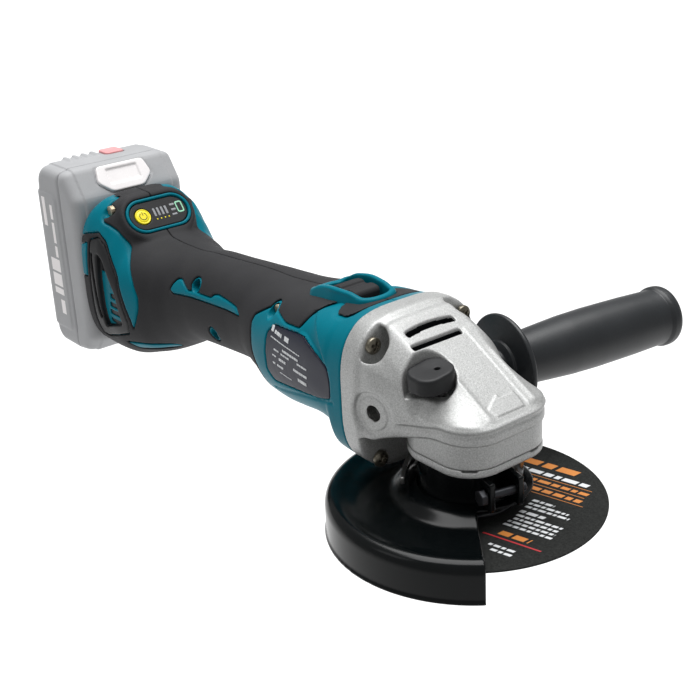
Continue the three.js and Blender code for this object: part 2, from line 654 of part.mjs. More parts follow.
function buildDisplay() {
  const ring = cut(solid(prismZ(roundedRect(21.4, 41.4, 10.6), -1, 2.4)),
    solid(prismZ(roundedRect(17.6, 37.6, 8.7), -2, 4)));
  add('display_ring', displayFrame(ring), TEAL);
  const panel = cut(solid(prismZ(roundedRect(17, 37, 8.4), -1, 1.2)),
    solid(rodZ(5.3, -2, 3, 0, -10.5, 24)));
  add('display_panel', displayFrame(panel), HARD_BLACK);
  add('power_button', displayFrame(solid(rodZ(4.8, -1, 1.8, 0, -10.5, 24))), YELLOW);
}

// ---------------------------------------------------------------- inside the body
function buildElectronics() {
  add('control_board', box(-240, -170, -9.5, 9.5, 32, 34), BOARD);
  const sink = join(solid(box(-236, -178, -9, 9, 34.5, 37)),
    ...[0, 1, 2, 3].map((i) => solid(box(-236, -178, -9 + i * 5.4, -7.2 + i * 5.4, 36, 45))));
  add('heat_sink', sink, DARK_STEEL);
  add('trigger_switch', box(-168, -152, -5.4, 5.4, 55, 66.6), HARD_BLACK);
  add('terminal_block', box(-288.8, -270.3, -15.5, 15.5, 44.5, 57.5), HARD_BLACK);
  const leads = { red_lead: [4, RED], black_lead: [-4, HARD_BLACK] };
  for (const [name, [y, mat]] of Object.entries(leads)) {
    const path = new THREE.CatmullRomCurve3([
      new THREE.Vector3(-269.9, y, 51), new THREE.Vector3(-240, y, 52),
      new THREE.Vector3(-200, y, 56), new THREE.Vector3(-168.4, y, 60),
    ]);
    add(name, tubeAlong(path, 1.4, 12, 8), mat);
  }
}

// ---------------------------------------------------------------- spindle lock
function buildLock() {
  const cap = solid(prismZ(roundedRect(17, 20, 8), 61.8, 70).translate(-4, -17.5, 0));
  const bevel = solid(box(-20, 12, -14, 14, 0, 8).rotateX(0.42).translate(-4, -27, 67.6));
  const pinSeat = solid(rodZ(LOCK_PIN.r + GAP, 60, 68.3, LOCK_PIN.x, LOCK_PIN.y, 16));
  const springSeat = solid(rodZ(4.7, 60, 66, LOCK_PIN.x, LOCK_PIN.y, 16));
  add('lock_button', cut(cap, bevel, pinSeat, springSeat), HARD_BLACK);
  add('lock_pin', rodZ(LOCK_PIN.r, 40.2, 68, LOCK_PIN.x, LOCK_PIN.y, 16), STEEL);
  const coil = new Helix(3.6, 58.8, 65.3, 3.5);
  const spring = add('lock_spring', tubeAlong(coil, 0.4, 36, 5), STEEL);
  spring.position.set(LOCK_PIN.x, LOCK_PIN.y, 0);
}

// ---------------------------------------------------------------- guard
function buildGuard() {
  const outside = [
    [24.6, 10.5], [30, 9.6], [37, 5.2], [57, 5.2], [62.5, 7], [66, 5.6], [GUARD_R, 3],
  ];
  const inside = outside.map(([r, z], index) => (
    index < 4 ? [r, z - SHEET] : [r - SHEET, z - 1.6])).reverse();
  const profile = [
    ...outside, [GUARD_R, GUARD_RIM + 1.6], [GUARD_R + 0.9, GUARD_RIM],
    [GUARD_R - SHEET, GUARD_RIM], ...inside.slice(1), outside[0],
  ];
  const bowl = solid(turned(profile, 48));
  const keep = box(0, 90, -90, 90, -30, 30).rotateZ((GUARD_AXIS_DEG * Math.PI) / 180);
  const band = solid(ringZ(NECK_R + 3.6, NECK_R + 7.5, -30, 30, 48));
  const kept = bowl.intersect(solid(keep));
  const shoulder = bowl.intersect(band);
  add('guard_shell', join(kept, shoulder), BLACK_PAINT);
  const collar = join(
    solid(ringZ(NECK_R + GAP, NECK_R + 3, 7.6, COVER_BOTTOM - 0.8, 48)),
    solid(box(NECK_R - 1, NECK_R + 12, -8.5, -5.5, 11, 25)),
    solid(box(NECK_R - 1, NECK_R + 12, 5.5, 8.5, 11, 25)),
  );
  const split = solid(box(NECK_R - 6, NECK_R + 14, -5.5, 5.5, 0, 30));
  const neckSpace = solid(rodZ(NECK_R + GAP, 0, 40, 0, 0, 48));
  const boltHole = solid(rodY(2.4, -12, 12, NECK_R + 8, CLAMP_Z, 12));
  const clamp = new THREE.Group();
  clamp.rotation.z = THREE.MathUtils.degToRad(-15);
  grinder.add(clamp);
  add('guard_collar', cut(collar, split, neckSpace, boltHole), BLACK_PAINT, clamp);
  const bolt = join(solid(rodY(2, -10, 11.5, NECK_R + 8, CLAMP_Z, 10)),
    solid(rodY(3.8, -12, -9, NECK_R + 8, CLAMP_Z, 6)));
  add('clamp_bolt', bolt, STEEL, clamp);
}

function buildGuardLever() {
  const arm = solid(prismZ(outline([
    [-31.5, -4.5], [-31.5, -9], [-26, -17], [-19, -25], [-13.5, -30.5], [-12.4, -28.6],
    [-17.4, -23.6], [-23.6, -15.6], [-26.2, -9], [-26.2, -4.5],
  ]), 13.2, LEVER_TOP));
  const { x, y } = LEVER_PIVOT;
  const eye = solid(rodZ(2.3, 0, 40, x, y, 12));
  add('guard_lever', cut(arm, eye), STEEL);
  const pin = join(solid(rodZ(2, 11, COVER_TOP - 1, x, y, 12)), solid(rodZ(3.4, 10.8, 12.9, x, y, 12)));
  add('guard_lever_pin', pin, STEEL);
}

// ---------------------------------------------------------------- side handle
function buildHandle() {
  const end = HANDLE_LENGTH;
  const profile = [
    [0, 0], [8, 0], [8, 9], [12, 10.3], [12, 11.6], [25, 11.6], [25, 14.4],
    [16, 15.2], [12.8, 17.5], [15.3, 65], [14.6, end - 11], [14.7, end - 7], [15.7, end - 6],
    [15.7, end - 1.2], [14.8, end], [12.4, end], [11.6, end - 2.2], [0, end - 2.2],
  ];
  const grip = cut(solid(turned(profile, 24)), solid(rodZ(3.9, -1, 41, 0, 0, 16)));
  const handle = new THREE.Group();
  const sweep = THREE.MathUtils.degToRad(HANDLE_SWEEP);
  handle.position.set(BOSS_X, BOSS_Y, BOSS_Z);
  handle.rotation.set(-Math.PI / 2, 0, -sweep, 'ZYX');
  handle.translateZ(HUB_GAP);
  grinder.add(handle);
  add('side_handle_grip', grip, HANDLE, handle);
  add('side_handle_stud', rodZ(3.5, -8.6, 40, 0, 0, 16), STEEL, handle);
}

// ---------------------------------------------------------------- battery
function buildBattery() {
  const { rear, front, half, low, high } = PACK;
  const side = outline([
    [front, low + 12], [front - 8, low + 2], [front - 20, low], [rear + 10, low],
    [rear + 2, low + 6], [rear, low + 18], [rear, high - 16], [rear + 3, high - 6],
    [rear + 11, high], [front - 12, high], [front, high - 16],
  ]);
  const trim = solid(prismZ(roundedRect(80, 2 * half, 10), -50, 150).translate(rear + 40, 0, 0));
  const lid = rear + 33;
  const body = solid(prismY(side, -half, half)).intersect(trim);
  const split = (x0, x1) => body.intersect(solid(box(x0, x1, -60, 60, -60, 160)));
  const cellBay = solid(box(rear + 4, lid, -half + 4, half - 4, low + 8, high - 12));
  const gaugeWell = solid(box(rear + 9, rear + 22, 3, 16, high - 6, high + 5));
  add('battery_case', cut(split(rear - 1, lid - GAP), cellBay, gaugeWell), PACK_GREY);
  const latchSlope = Math.atan2(16, 12);
  const latchPlace = (shape) => shape.rotate([0, (latchSlope * 180) / Math.PI, 0])
    .translate([front - 6, 0, high - 8]);
  const latchOutline = (grow) => outline([
    [-8.5 - grow, -15.5 - grow], [1.5, -18 - grow], [8.5 + grow, -10.5 - grow],
    [8.5 + grow, 10.5 + grow], [1.5, 18 + grow], [-8.5 - grow, 15.5 + grow],
  ]);
  const latchWell = latchPlace(solid(prismZ(latchOutline(0.5), -5, 12)));
  const lidBay = solid(box(lid - 1, lid + 8, -half + 8, half - 8, low + 12, high - 30));
  const rail = (s) => solid(box(front - 1, front + 4.4, s > 0 ? 20 : -25, s > 0 ? 25 : -20, 8, 72));
  const lidBody = join(cut(split(lid, front + 1), latchWell, lidBay), rail(1), rail(-1));
  add('battery_lid', lidBody, PACK_GREY);
  add('battery_latch', latchPlace(solid(prismZ(latchOutline(0), -1.4, 1))), LATCH_WHITE);
  const gauge = solid(prismZ(roundedRect(12.4, 12.4, 2), high - 3.6, high + 0.8));
  add('gauge_button', gauge.translate([rear + 15.5, 9.5, 0]), PINK);
  const cells = [];
  for (let row = 0; row < 2; row += 1) {
    for (let column = 0; column < 4; column += 1) {
      const [x, z] = [rear + 14 + row * 9.6, low + 19 + column * 19.6 + row * 8];
      cells.push(solid(rodY(6.5, -32, 32, x, z, 10)));
    }
  }
  const strips = [-31, 28].map((y) => (
    solid(box(rear + 12, rear + 26, y, y + 3, low + 17, high - 20))));
  add('cell_pack', join(...strips, ...cells), MAGNET);
}

buildGearHousing();
buildBearingCover();
buildHeadScrews();
buildSpindle();
buildCrownGear();
buildMotor();
buildBody();
buildBodyScrews();
buildSwitch();
buildDisplay();
buildElectronics();
buildLock();
buildGuard();
buildGuardLever();
buildHandle();
buildBattery();

const model = new THREE.Group();
model.add(grinder);
export default model;
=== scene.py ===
"""Angle grinder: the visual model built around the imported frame.

Shapes are drawn in millimetres with z = 0 at the wheel's mid-plane: x runs from the battery to the
gear head, y to the side handle's side, z up the spindle. A shape is a signed distance on a grid, below
zero inside, that is meshed with surface nets, or a turned profile. Pieces ride on the frame's bodies.
"""

import json
import math

import bpy
import numpy as np
from mathutils import Matrix, Vector


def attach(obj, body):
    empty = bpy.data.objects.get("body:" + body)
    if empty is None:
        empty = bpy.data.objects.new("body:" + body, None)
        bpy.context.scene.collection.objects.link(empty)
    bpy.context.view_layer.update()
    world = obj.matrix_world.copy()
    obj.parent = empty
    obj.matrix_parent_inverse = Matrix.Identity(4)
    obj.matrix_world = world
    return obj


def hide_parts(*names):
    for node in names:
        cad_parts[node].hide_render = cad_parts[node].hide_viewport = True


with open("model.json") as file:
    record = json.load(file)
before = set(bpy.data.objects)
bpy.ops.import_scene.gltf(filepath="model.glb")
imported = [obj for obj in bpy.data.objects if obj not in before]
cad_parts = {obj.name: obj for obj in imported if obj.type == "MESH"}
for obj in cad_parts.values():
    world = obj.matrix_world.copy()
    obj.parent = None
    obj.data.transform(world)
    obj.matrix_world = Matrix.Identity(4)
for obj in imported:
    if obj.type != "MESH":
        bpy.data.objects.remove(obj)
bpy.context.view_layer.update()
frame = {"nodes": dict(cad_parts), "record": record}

LIFT = 12.0                       # height of the wheel's mid-plane in the row frame
COARSE = 1.0
MM = 0.001
FAR = 99                          # a distance from a shape with nothing in it yet


# ---------------------------------------------------------------- numbers
def smin(a, b, k):
    """The union of two distances, with a fillet about k wide where they meet."""
    h = np.clip(k - np.abs(a - b), 0, None) / k
    return np.minimum(a, b) - h * h * k / 4


def smax(a, b, k):
    """What two distances share, with the edge between them rounded about k wide."""
    return -smin(-a, -b, k)


def step01(x, a, b):
    """A smooth step from 0 at x = a to 1 at x = b."""
    t = np.clip((x - a) / (b - a), 0, 1)
    return t * t * (3 - 2 * t)


def bump(x, width):
    """A bell that is 1 at x = 0."""
    return np.exp(-(x / width) ** 2)


def rounded(points, r=1.2):
    """A closed outline with its corners rounded by up to r."""
    return filleted([*points, points[0]], r, 4)[:-1]


def to_line(points, u, v, closed=False):
    """Distance from (u, v) to a line through points."""
    p = np.array(points, np.float32)
    ends = np.roll(p, -1, 0) if closed else p[1:]
    d = np.float32(1e9)
    for (ax, ay), (bx, by) in zip(p, ends):
        ex, ey = bx - ax, by - ay
        t = np.clip(((u - ax) * ex + (v - ay) * ey) / (ex * ex + ey * ey + 1e-9), 0, 1)
        d = np.minimum(d, (u - ax - t * ex) ** 2 + (v - ay - t * ey) ** 2)
    return np.sqrt(d)


def region(points, u, v):
    """Signed distance to a closed outline, below zero inside."""
    p = np.array(points, np.float32)
    inside = np.zeros(np.broadcast_shapes(np.shape(u), np.shape(v)), bool)
    for (ax, ay), (bx, by) in zip(p, np.roll(p, -1, 0)):
        if ay != by:
            inside ^= ((ay > v) != (by > v)) & (u < (bx - ax) * (v - ay) / (by - ay) + ax)
    return np.where(inside, -1, 1) * to_line(p, u, v, closed=True)


def rect(u, v, half_u, half_v, r):
    """Signed distance to a rectangle about (0, 0) with corners of radius r."""
    du = np.abs(u) - half_u + r
    dv = np.abs(v) - half_v + r
    return np.hypot(np.maximum(du, 0), np.maximum(dv, 0)) + np.minimum(np.maximum(du, dv), 0) - r


def table(rows, x):
    """Columns of a station table at x, joined by monotone cubics."""
    rows = np.array(rows, float)
    xs = rows[:, 0]
    gaps = np.diff(xs)
    x = np.clip(x, xs[0], xs[-1])
    i = np.clip(np.searchsorted(xs, x) - 1, 0, len(xs) - 2)
    t = (x - xs[i]) / gaps[i]
    columns = []
    for column in rows.T[1:]:
        slopes = np.diff(column) / gaps
        m = np.zeros(len(xs))
        m[0], m[-1] = slopes[0], slopes[-1]
        both = slopes[:-1] * slopes[1:]
        agree = both > 0
        m[1:-1][agree] = 2 * both[agree] / (slopes[:-1] + slopes[1:])[agree]
        columns.append(
            column[i] * (1 + 2 * t) * (1 - t) ** 2 + column[i + 1] * t * t * (3 - 2 * t)
            + gaps[i] * (m[i] * t * (1 - t) ** 2 - m[i + 1] * t * t * (1 - t))
        )
    return columns


# ---------------------------------------------------------------- grids and meshes
def grid(lo, hi, step):
    """Open axes of a grid, and its origin and step."""
    step = step * COARSE
    axes = [np.arange(a, b + step, step, dtype=np.float32) for a, b in zip(lo, hi)]
    X, Y, Z = axes[0][:, None, None], axes[1][None, :, None], axes[2][None, None, :]
    return X, Y, Z, (np.array(lo, float), step)


def true_distance(g, step):
    """A field scaled to unit slope."""
    gx, gy, gz = np.gradient(g, step)
    return g / np.maximum(np.sqrt(gx * gx + gy * gy + gz * gz), 0.01)


def loft(rows, X, Y, Z, place):
    """Distance to a body of superellipse sections along x: [x, half width, top, bottom, power]."""
    half, top, low, power = [c.astype(np.float32) for c in table(rows, X)]
    tall = (top - low) / 2
    across = (np.abs(Y) / half) ** power
    up = (np.abs(Z - (top + low) / 2) / tall) ** power
    return true_distance((across + up) ** (1 / power) - 1, place[1])


CORNERS = [np.array([k & 1, k >> 1 & 1, k >> 2 & 1]) for k in range(8)]
EDGES = [(a, b) for a in range(8) for b in range(8) if a < b and (a ^ b) in (1, 2, 4)]


def surface(field, place):
    """Surface nets: one vertex in each cell that the surface crosses, one quad for each crossed edge."""
    origin, step = place
    inside = field < 0
    n = [s - 1 for s in field.shape]
    count = np.zeros(n, np.int8)
    for c in CORNERS:
        count += inside[c[0]:n[0] + c[0], c[1]:n[1] + c[1], c[2]:n[2] + c[2]]
    crossed = (count > 0) & (count < 8)
    cells = np.argwhere(crossed)
    index = np.full(n, -1, np.int32)
    index[crossed] = np.arange(len(cells))
    values = [field[tuple((cells + c).T)] for c in CORNERS]
    total, hits = np.zeros((len(cells), 3)), np.zeros(len(cells))
    for a, b in EDGES:
        cross = (values[a] < 0) != (values[b] < 0)
        fa, fb = values[a][cross], values[b][cross]
        total[cross] += CORNERS[a] + (fa / (fa - fb))[:, None] * (CORNERS[b] - CORNERS[a])
        hits[cross] += 1
    points = origin + step * (cells + total / hits[:, None])
    quads = []
    for axis in range(3):
        u, v = (axis + 1) % 3, (axis + 2) % 3
        low = np.take(inside, range(n[axis]), axis)
        change = low != np.take(inside, range(1, n[axis] + 1), axis)
        at = np.argwhere(change)
        at = at[(at[:, u] > 0) & (at[:, v] > 0) & (at[:, u] < n[u]) & (at[:, v] < n[v])]
        eu, ev = np.eye(3, dtype=int)[u], np.eye(3, dtype=int)[v]
        quad = np.stack([index[tuple((at - s).T)] for s in (0 * eu, eu, eu + ev, ev)], 1)
        out = ~low[tuple(at.T)]
        quad[out] = quad[out][:, ::-1]
        quads.append(quad)
    return points, np.concatenate(quads)


def turned(profile, around=96):
    """A closed surface of revolution about z, from (radius, height) pairs that end on the axis or meet."""
    profile = np.array(profile, float)
    looped = np.allclose(profile[0], profile[-1])
    if looped:
        profile = profile[:-1]
    angles = np.linspace(0, 2 * math.pi, around, endpoint=False)
    rows, points = [], []
    for r, z in profile:
        if r < 1e-6:
            rows.append([len(points)] * around)
            points.append((0, 0, z))
        else:
            rows.append(list(range(len(points), len(points) + around)))
            points.extend((r * math.cos(a), r * math.sin(a), z) for a in angles)
    faces = []
    for i in range(len(rows) if looped else len(rows) - 1):
        low, high = rows[i], rows[(i + 1) % len(rows)]
        for j in range(around):
            k = (j + 1) % around
            face = [low[j], low[k], high[k], high[j]]
            face = [p for q, p in enumerate(face) if p != face[q - 1]]
            faces.append(face)
    return np.array(points), faces


def filleted(points, r=0.6, steps=4):
    """An open or looped outline with its corners rounded by up to r."""
    p = np.array(points, float)
    looped = np.allclose(p[0], p[-1])
    core = p[:-1] if looped else p
    out = []
    for i, b in enumerate(core):
        if not looped and i in (0, len(core) - 1):
            out.append(b)
            continue
        a, c = core[i - 1], core[(i + 1) % len(core)]
        cut = min(r, np.linalg.norm(a - b) * 0.45, np.linalg.norm(c - b) * 0.45)
        s = b + (a - b) / np.linalg.norm(a - b) * cut
        e = b + (c - b) / np.linalg.norm(c - b) * cut
        out += [(1 - t) ** 2 * s + 2 * t * (1 - t) * b + t * t * e for t in np.linspace(0, 1, steps)]
    if looped:
        out.append(out[0])
    return np.array(out)


def piece(name, shape, materials, body, replaces=(), pick=None, place=None, smooth=True):
    """A mesh object in the row frame that rides on a body."""
    points, faces = shape
    if place is not None:
        turn, move = place
        points = points @ np.array(turn).T + np.array(move)
    points = (np.array(points) + (0, 0, LIFT)) * MM
    faces = faces.tolist() if isinstance(faces, np.ndarray) else faces
    mesh = bpy.data.meshes.new(name)
    mesh.from_pydata(points.tolist(), [], faces)
    mesh.validate()
    for m in materials if isinstance(materials, (list, tuple)) else [materials]:
        mesh.materials.append(m)
    mesh.polygons.foreach_set("use_smooth", [smooth] * len(mesh.polygons))
    if pick is not None:
        centres = np.zeros(len(mesh.polygons) * 3)
        mesh.polygons.foreach_get("center", centres)
        centres = centres.reshape(-1, 3) / MM - (0, 0, LIFT)
        mesh.polygons.foreach_set("material_index", pick(*centres.T).astype(np.int32))
    mesh.update()
    obj = bpy.data.objects.new(name, mesh)
    bpy.context.scene.collection.objects.link(obj)
    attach(obj, body)
    if replaces:
        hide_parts(*replaces)
    return obj


def flipped(shape):
    """The shape's mirror image across the seam plane."""
    points, faces = shape
    return points * (1, -1, 1), faces[:, ::-1]


# ---------------------------------------------------------------- materials
def srgb(*c):
    """A linear colour from the 0 to 255 values seen on screen."""
    return tuple(((v / 255 + 0.055) / 1.055) ** 2.4 if v > 10 else v / 255 / 12.92 for v in c) + (1,)


def finish_of(name, colour, roughness, metallic=0.0, other=None, mottle=60, grain=1500, depth=0.02,
              spread=0.12, specular=0.5, coat=0.0, stretch=(1, 1, 1)):
    """A procedural finish: mottled colour, uneven roughness and a fine grain in the surface."""
    m = bpy.data.materials.new(name)
    m.use_nodes = True
    nodes, links = m.node_tree.nodes, m.node_tree.links
    shader = nodes["Principled BSDF"]
    shader.inputs["Metallic"].default_value = metallic
    shader.inputs["Specular IOR Level"].default_value = specular
    shader.inputs["Coat Weight"].default_value = coat
    shader.inputs["Coat Roughness"].default_value = 0.08
    place = nodes.new("ShaderNodeTexCoord")
    scaled = nodes.new("ShaderNodeMapping")
    scaled.inputs["Scale"].default_value = stretch
    links.new(place.outputs["Object"], scaled.inputs["Vector"])

    def noise(scale, detail):
        n = nodes.new("ShaderNodeTexNoise")
        n.inputs["Scale"].default_value = scale
        n.inputs["Detail"].default_value = detail
        links.new(scaled.outputs["Vector"], n.inputs["Vector"])
        return n

    broad, fine = noise(mottle, 4), noise(grain, 3)
    both = nodes.new("ShaderNodeMix")
    both.data_type = "FLOAT"
    both.inputs["Factor"].default_value = 0.45
    links.new(broad.outputs["Fac"], both.inputs[2])
    links.new(fine.outputs["Fac"], both.inputs[3])
    ramp = nodes.new("ShaderNodeValToRGB")
    ramp.color_ramp.elements[0].position = 0.32
    ramp.color_ramp.elements[1].position = 0.68
    ramp.color_ramp.elements[0].color = colour
    ramp.color_ramp.elements[1].color = other or tuple(min(1, c * 1.18) for c in colour[:3]) + (1,)
    links.new(both.outputs[0], ramp.inputs["Fac"])
    links.new(ramp.outputs["Color"], shader.inputs["Base Color"])
    rough = nodes.new("ShaderNodeMapRange")
    rough.inputs["To Min"].default_value = max(0.02, roughness - spread / 2)
    rough.inputs["To Max"].default_value = min(1, roughness + spread / 2)
    links.new(broad.outputs["Fac"], rough.inputs["Value"])
    links.new(rough.outputs["Result"], shader.inputs["Roughness"])
    relief = nodes.new("ShaderNodeBump")
    relief.inputs["Strength"].default_value = 0.6
    relief.inputs["Distance"].default_value = depth * MM
    links.new(fine.outputs["Fac"], relief.inputs["Height"])
    links.new(relief.outputs["Normal"], shader.inputs["Normal"])
    return m


CAST = finish_of("die_cast", srgb(144, 145, 144), 0.42, 0.4, srgb(200, 201, 200), mottle=1500, grain=2600,
                 depth=0.2)
STEEL = finish_of("bright_steel", srgb(150, 150, 148), 0.28, 0.95, grain=900)
DARK_STEEL = finish_of("dark_steel", srgb(58, 59, 62), 0.36, 0.85)
SCREW = finish_of("screw_plating", srgb(92, 88, 78), 0.3, 0.9, srgb(140, 134, 120), mottle=300)
GUARD = finish_of("guard_paint", srgb(4, 7, 8), 0.2, 0, srgb(8, 11, 12), specular=0.22, depth=0.01,
                  grain=500, spread=0.1)
TEAL = finish_of("teal_shell", srgb(0, 105, 122), 0.36, 0, srgb(1, 113, 130), depth=0.03, specular=0.08)
RUBBER = finish_of("soft_grip", srgb(35, 35, 37), 0.7, 0, srgb(46, 46, 48), grain=1700, depth=0.14,
                   specular=0.25)
BLACK = finish_of("black_plastic", srgb(22, 23, 25), 0.5, 0, srgb(31, 32, 34), depth=0.05, specular=0.35)
# a near-black finish that is painted shade, laid where only shade falls: in the casting's slots and hollows and
# under the switch slider
PAINTED_SHADE = finish_of("shadowed_inside", srgb(8, 10, 12), 0.8, 0, srgb(12, 14, 16), specular=0.1)
HANDLE = finish_of("handle_plastic", srgb(26, 29, 32), 0.42, 0, srgb(34, 37, 40), grain=1200, depth=0.08,
                   specular=0.5)
DISC = finish_of("abrasive", srgb(17, 19, 18), 0.9, 0, srgb(46, 47, 46), mottle=900, grain=2200, depth=0.25,
                 specular=0.2)
PLATE = finish_of("data_plate", srgb(13, 17, 38), 0.35, 0, srgb(17, 22, 44), depth=0.01, specular=0.3)
PRINT = finish_of("pale_print", srgb(206, 209, 212), 0.55, 0, srgb(220, 222, 224), depth=0.01)
ORANGE = finish_of("orange_print", srgb(196, 118, 44), 0.6, 0, srgb(208, 132, 58), depth=0.01)
YELLOW = finish_of("yellow_key", srgb(238, 220, 22), 0.4, 0, srgb(246, 230, 40), depth=0.02)
MINT = finish_of("mint_print", srgb(150, 214, 178), 0.5, 0, srgb(160, 222, 188), depth=0.01)
GREY_PRINT = finish_of("grey_print", srgb(140, 142, 146), 0.5, 0, srgb(150, 152, 156), depth=0.01)
COPPER = finish_of("copper_wire", srgb(176, 106, 58), 0.35, 0.9, grain=2500)
BOARD = finish_of("circuit_board", srgb(29, 90, 53), 0.5)
PACK = finish_of("pack_case", srgb(160, 161, 163), 0.55, 0, srgb(170, 171, 173), grain=1600, depth=0.06,
                 specular=0.35)
WHITE = finish_of("pack_latch", srgb(240, 236, 236), 0.5, 0, srgb(248, 245, 245), depth=0.04)
PINK = finish_of("pink_button", srgb(222, 150, 152), 0.5, 0, srgb(230, 164, 166), depth=0.03)
RED = finish_of("red_insulation", srgb(168, 35, 42), 0.55)
MAGNET = finish_of("sintered_magnet", srgb(85, 88, 92), 0.5, 0.6)

# ---------------------------------------------------------------- body
# sections of the motor body and hood along x: [x, half width, top, bottom, power]
BODY = [
    [-289.6, 38, 89, -1.5, 3.3], [-281, 38, 93.5, -3, 3.1], [-272, 38, 93.2, -4.4, 2.8],
    [-262, 37.8, 83, -3.2, 2.7], [-252, 36.4, 72.5, 0, 2.6], [-240, 34, 70.6, 4, 2.5],
    [-228, 30, 70.2, 9.5, 2.25], [-215, 26.5, 70.4, 16, 2.2], [-200, 24.8, 72, 21, 2.2],
    [-180, 24.3, 73.4, 22.5, 2.2], [-160, 24.4, 75, 23.8, 2.2], [-145, 26, 75.8, 24.6, 2.2],
    [-130, 30, 76, 22.2, 2.2], [-118, 32.2, 76.8, 17, 2.3], [-104, 33.6, 78.2, 18, 2.6],
    [-90, 34.8, 79.8, 20.4, 2.9], [-72, 36, 81.6, 22.8, 3.1], [-60, 36.3, 82.8, 20.6, 3.2],
    [-56, 36.4, 83.4, 10.6, 3.3], [-46.3, 36.6, 84.9, 9.6, 3.3],
]
# outlines on the flank, as (x, z): teal panels, the plate and the vent
FRONT_PANEL = [
    [-40, 0], [-40, 100], [-51.4, 100], [-53.6, 82], [-57, 80], [-64, 79.3], [-71.4, 81.2],
    [-76.6, 79.2], [-79.9, 75.9], [-82.3, 69.9], [-95.8, 68.5], [-107.7, 69.8], [-117, 69],
    [-126.3, 63.5], [-127.5, 59.8], [-126.3, 54], [-125.5, 45.8], [-122.6, 38.8], [-118, 29],
    [-112, 18], [-108, -4],
]
GRIP_INLAY = [
    [-212.7, 53.6], [-210.9, 57.4], [-208.1, 60.2], [-204.6, 61.1], [-196.3, 57], [-187.3, 57.8],
    [-174, 58.5], [-171.6, 60.6], [-167.4, 61.6], [-147.6, 60.6], [-143, 57.1], [-170.7, 55.5],
    [-193.7, 54], [-209.8, 52.1],
]
REAR_TRIM = [
    [-300, 66], [-300, 92], [-275.4, 91.6], [-274.2, 87.1], [-272.6, 82], [-267.4, 79.8],
    [-261.5, 76], [-248.7, 62.4], [-240.8, 52.6], [-236.2, 44.6], [-236.4, 38.1], [-239.4, 30.3],
    [-243.4, 23.7], [-243.9, 29.5], [-253.4, 53.2], [-265.7, 71.5], [-271.4, 75.8], [-284.2, 73], [-289.2, 70.5],
]
REAR_STRIP = [[-300, 47], [-283.2, 47.3], [-281.2, 68.4], [-289, 66], [-300, 62]]
FOOT_PATCH = [[-256, 12.2], [-245, 13.6], [-226, 15], [-226, 11.5], [-240, 9.5], [-250, 8]]
PLATE_EDGE = [
    [-104.9, 65], [-81.3, 67.9], [-76.6, 68], [-67, 63.9], [-57, 59], [-55.2, 53.4], [-55.2, 43.6],
    [-65.1, 40.7], [-105, 36.2], [-110.3, 40.4], [-110.7, 49.9], [-109.9, 60.2],
]
VENT = [
    [-278.5, 70.6], [-271, 73], [-265.8, 69], [-254.4, 51.6], [-246.8, 27], [-249, 19.5], [-276, 10.5],
    [-281.5, 11], [-280.6, 46],
]
VENT_RECESS = [[-272, 63.8], [-267, 61], [-256.4, 43], [-252.6, 24.2], [-273.6, 17.4]]
VENT_GROOVE = [[-277.5, 62], [-275.2, 24]]
SCREWS = [[-190, 60.6, 13.6], [-174, 37.6, 16.6], [-112.4, 68.4, 19.6], [-271.6, 86.6, 22]]   # x, z, seat y
DISPLAY_AT = (-259.9, 81.6)       # x and z of the display's centre
TILT = math.atan2(23.2, 19.9)     # slope of the hood's face
SKIN = 1.6                        # thickness of the soft skin over the shell
BACK_END, FRONT_END = -289.6, -46.45


def on_display(X, Z):
    """Down-slope and outward distances from the display's centre."""
    dx, dz = X - DISPLAY_AT[0], Z - DISPLAY_AT[1]
    return dx * math.cos(TILT) - dz * math.sin(TILT), dx * math.sin(TILT) + dz * math.cos(TILT)


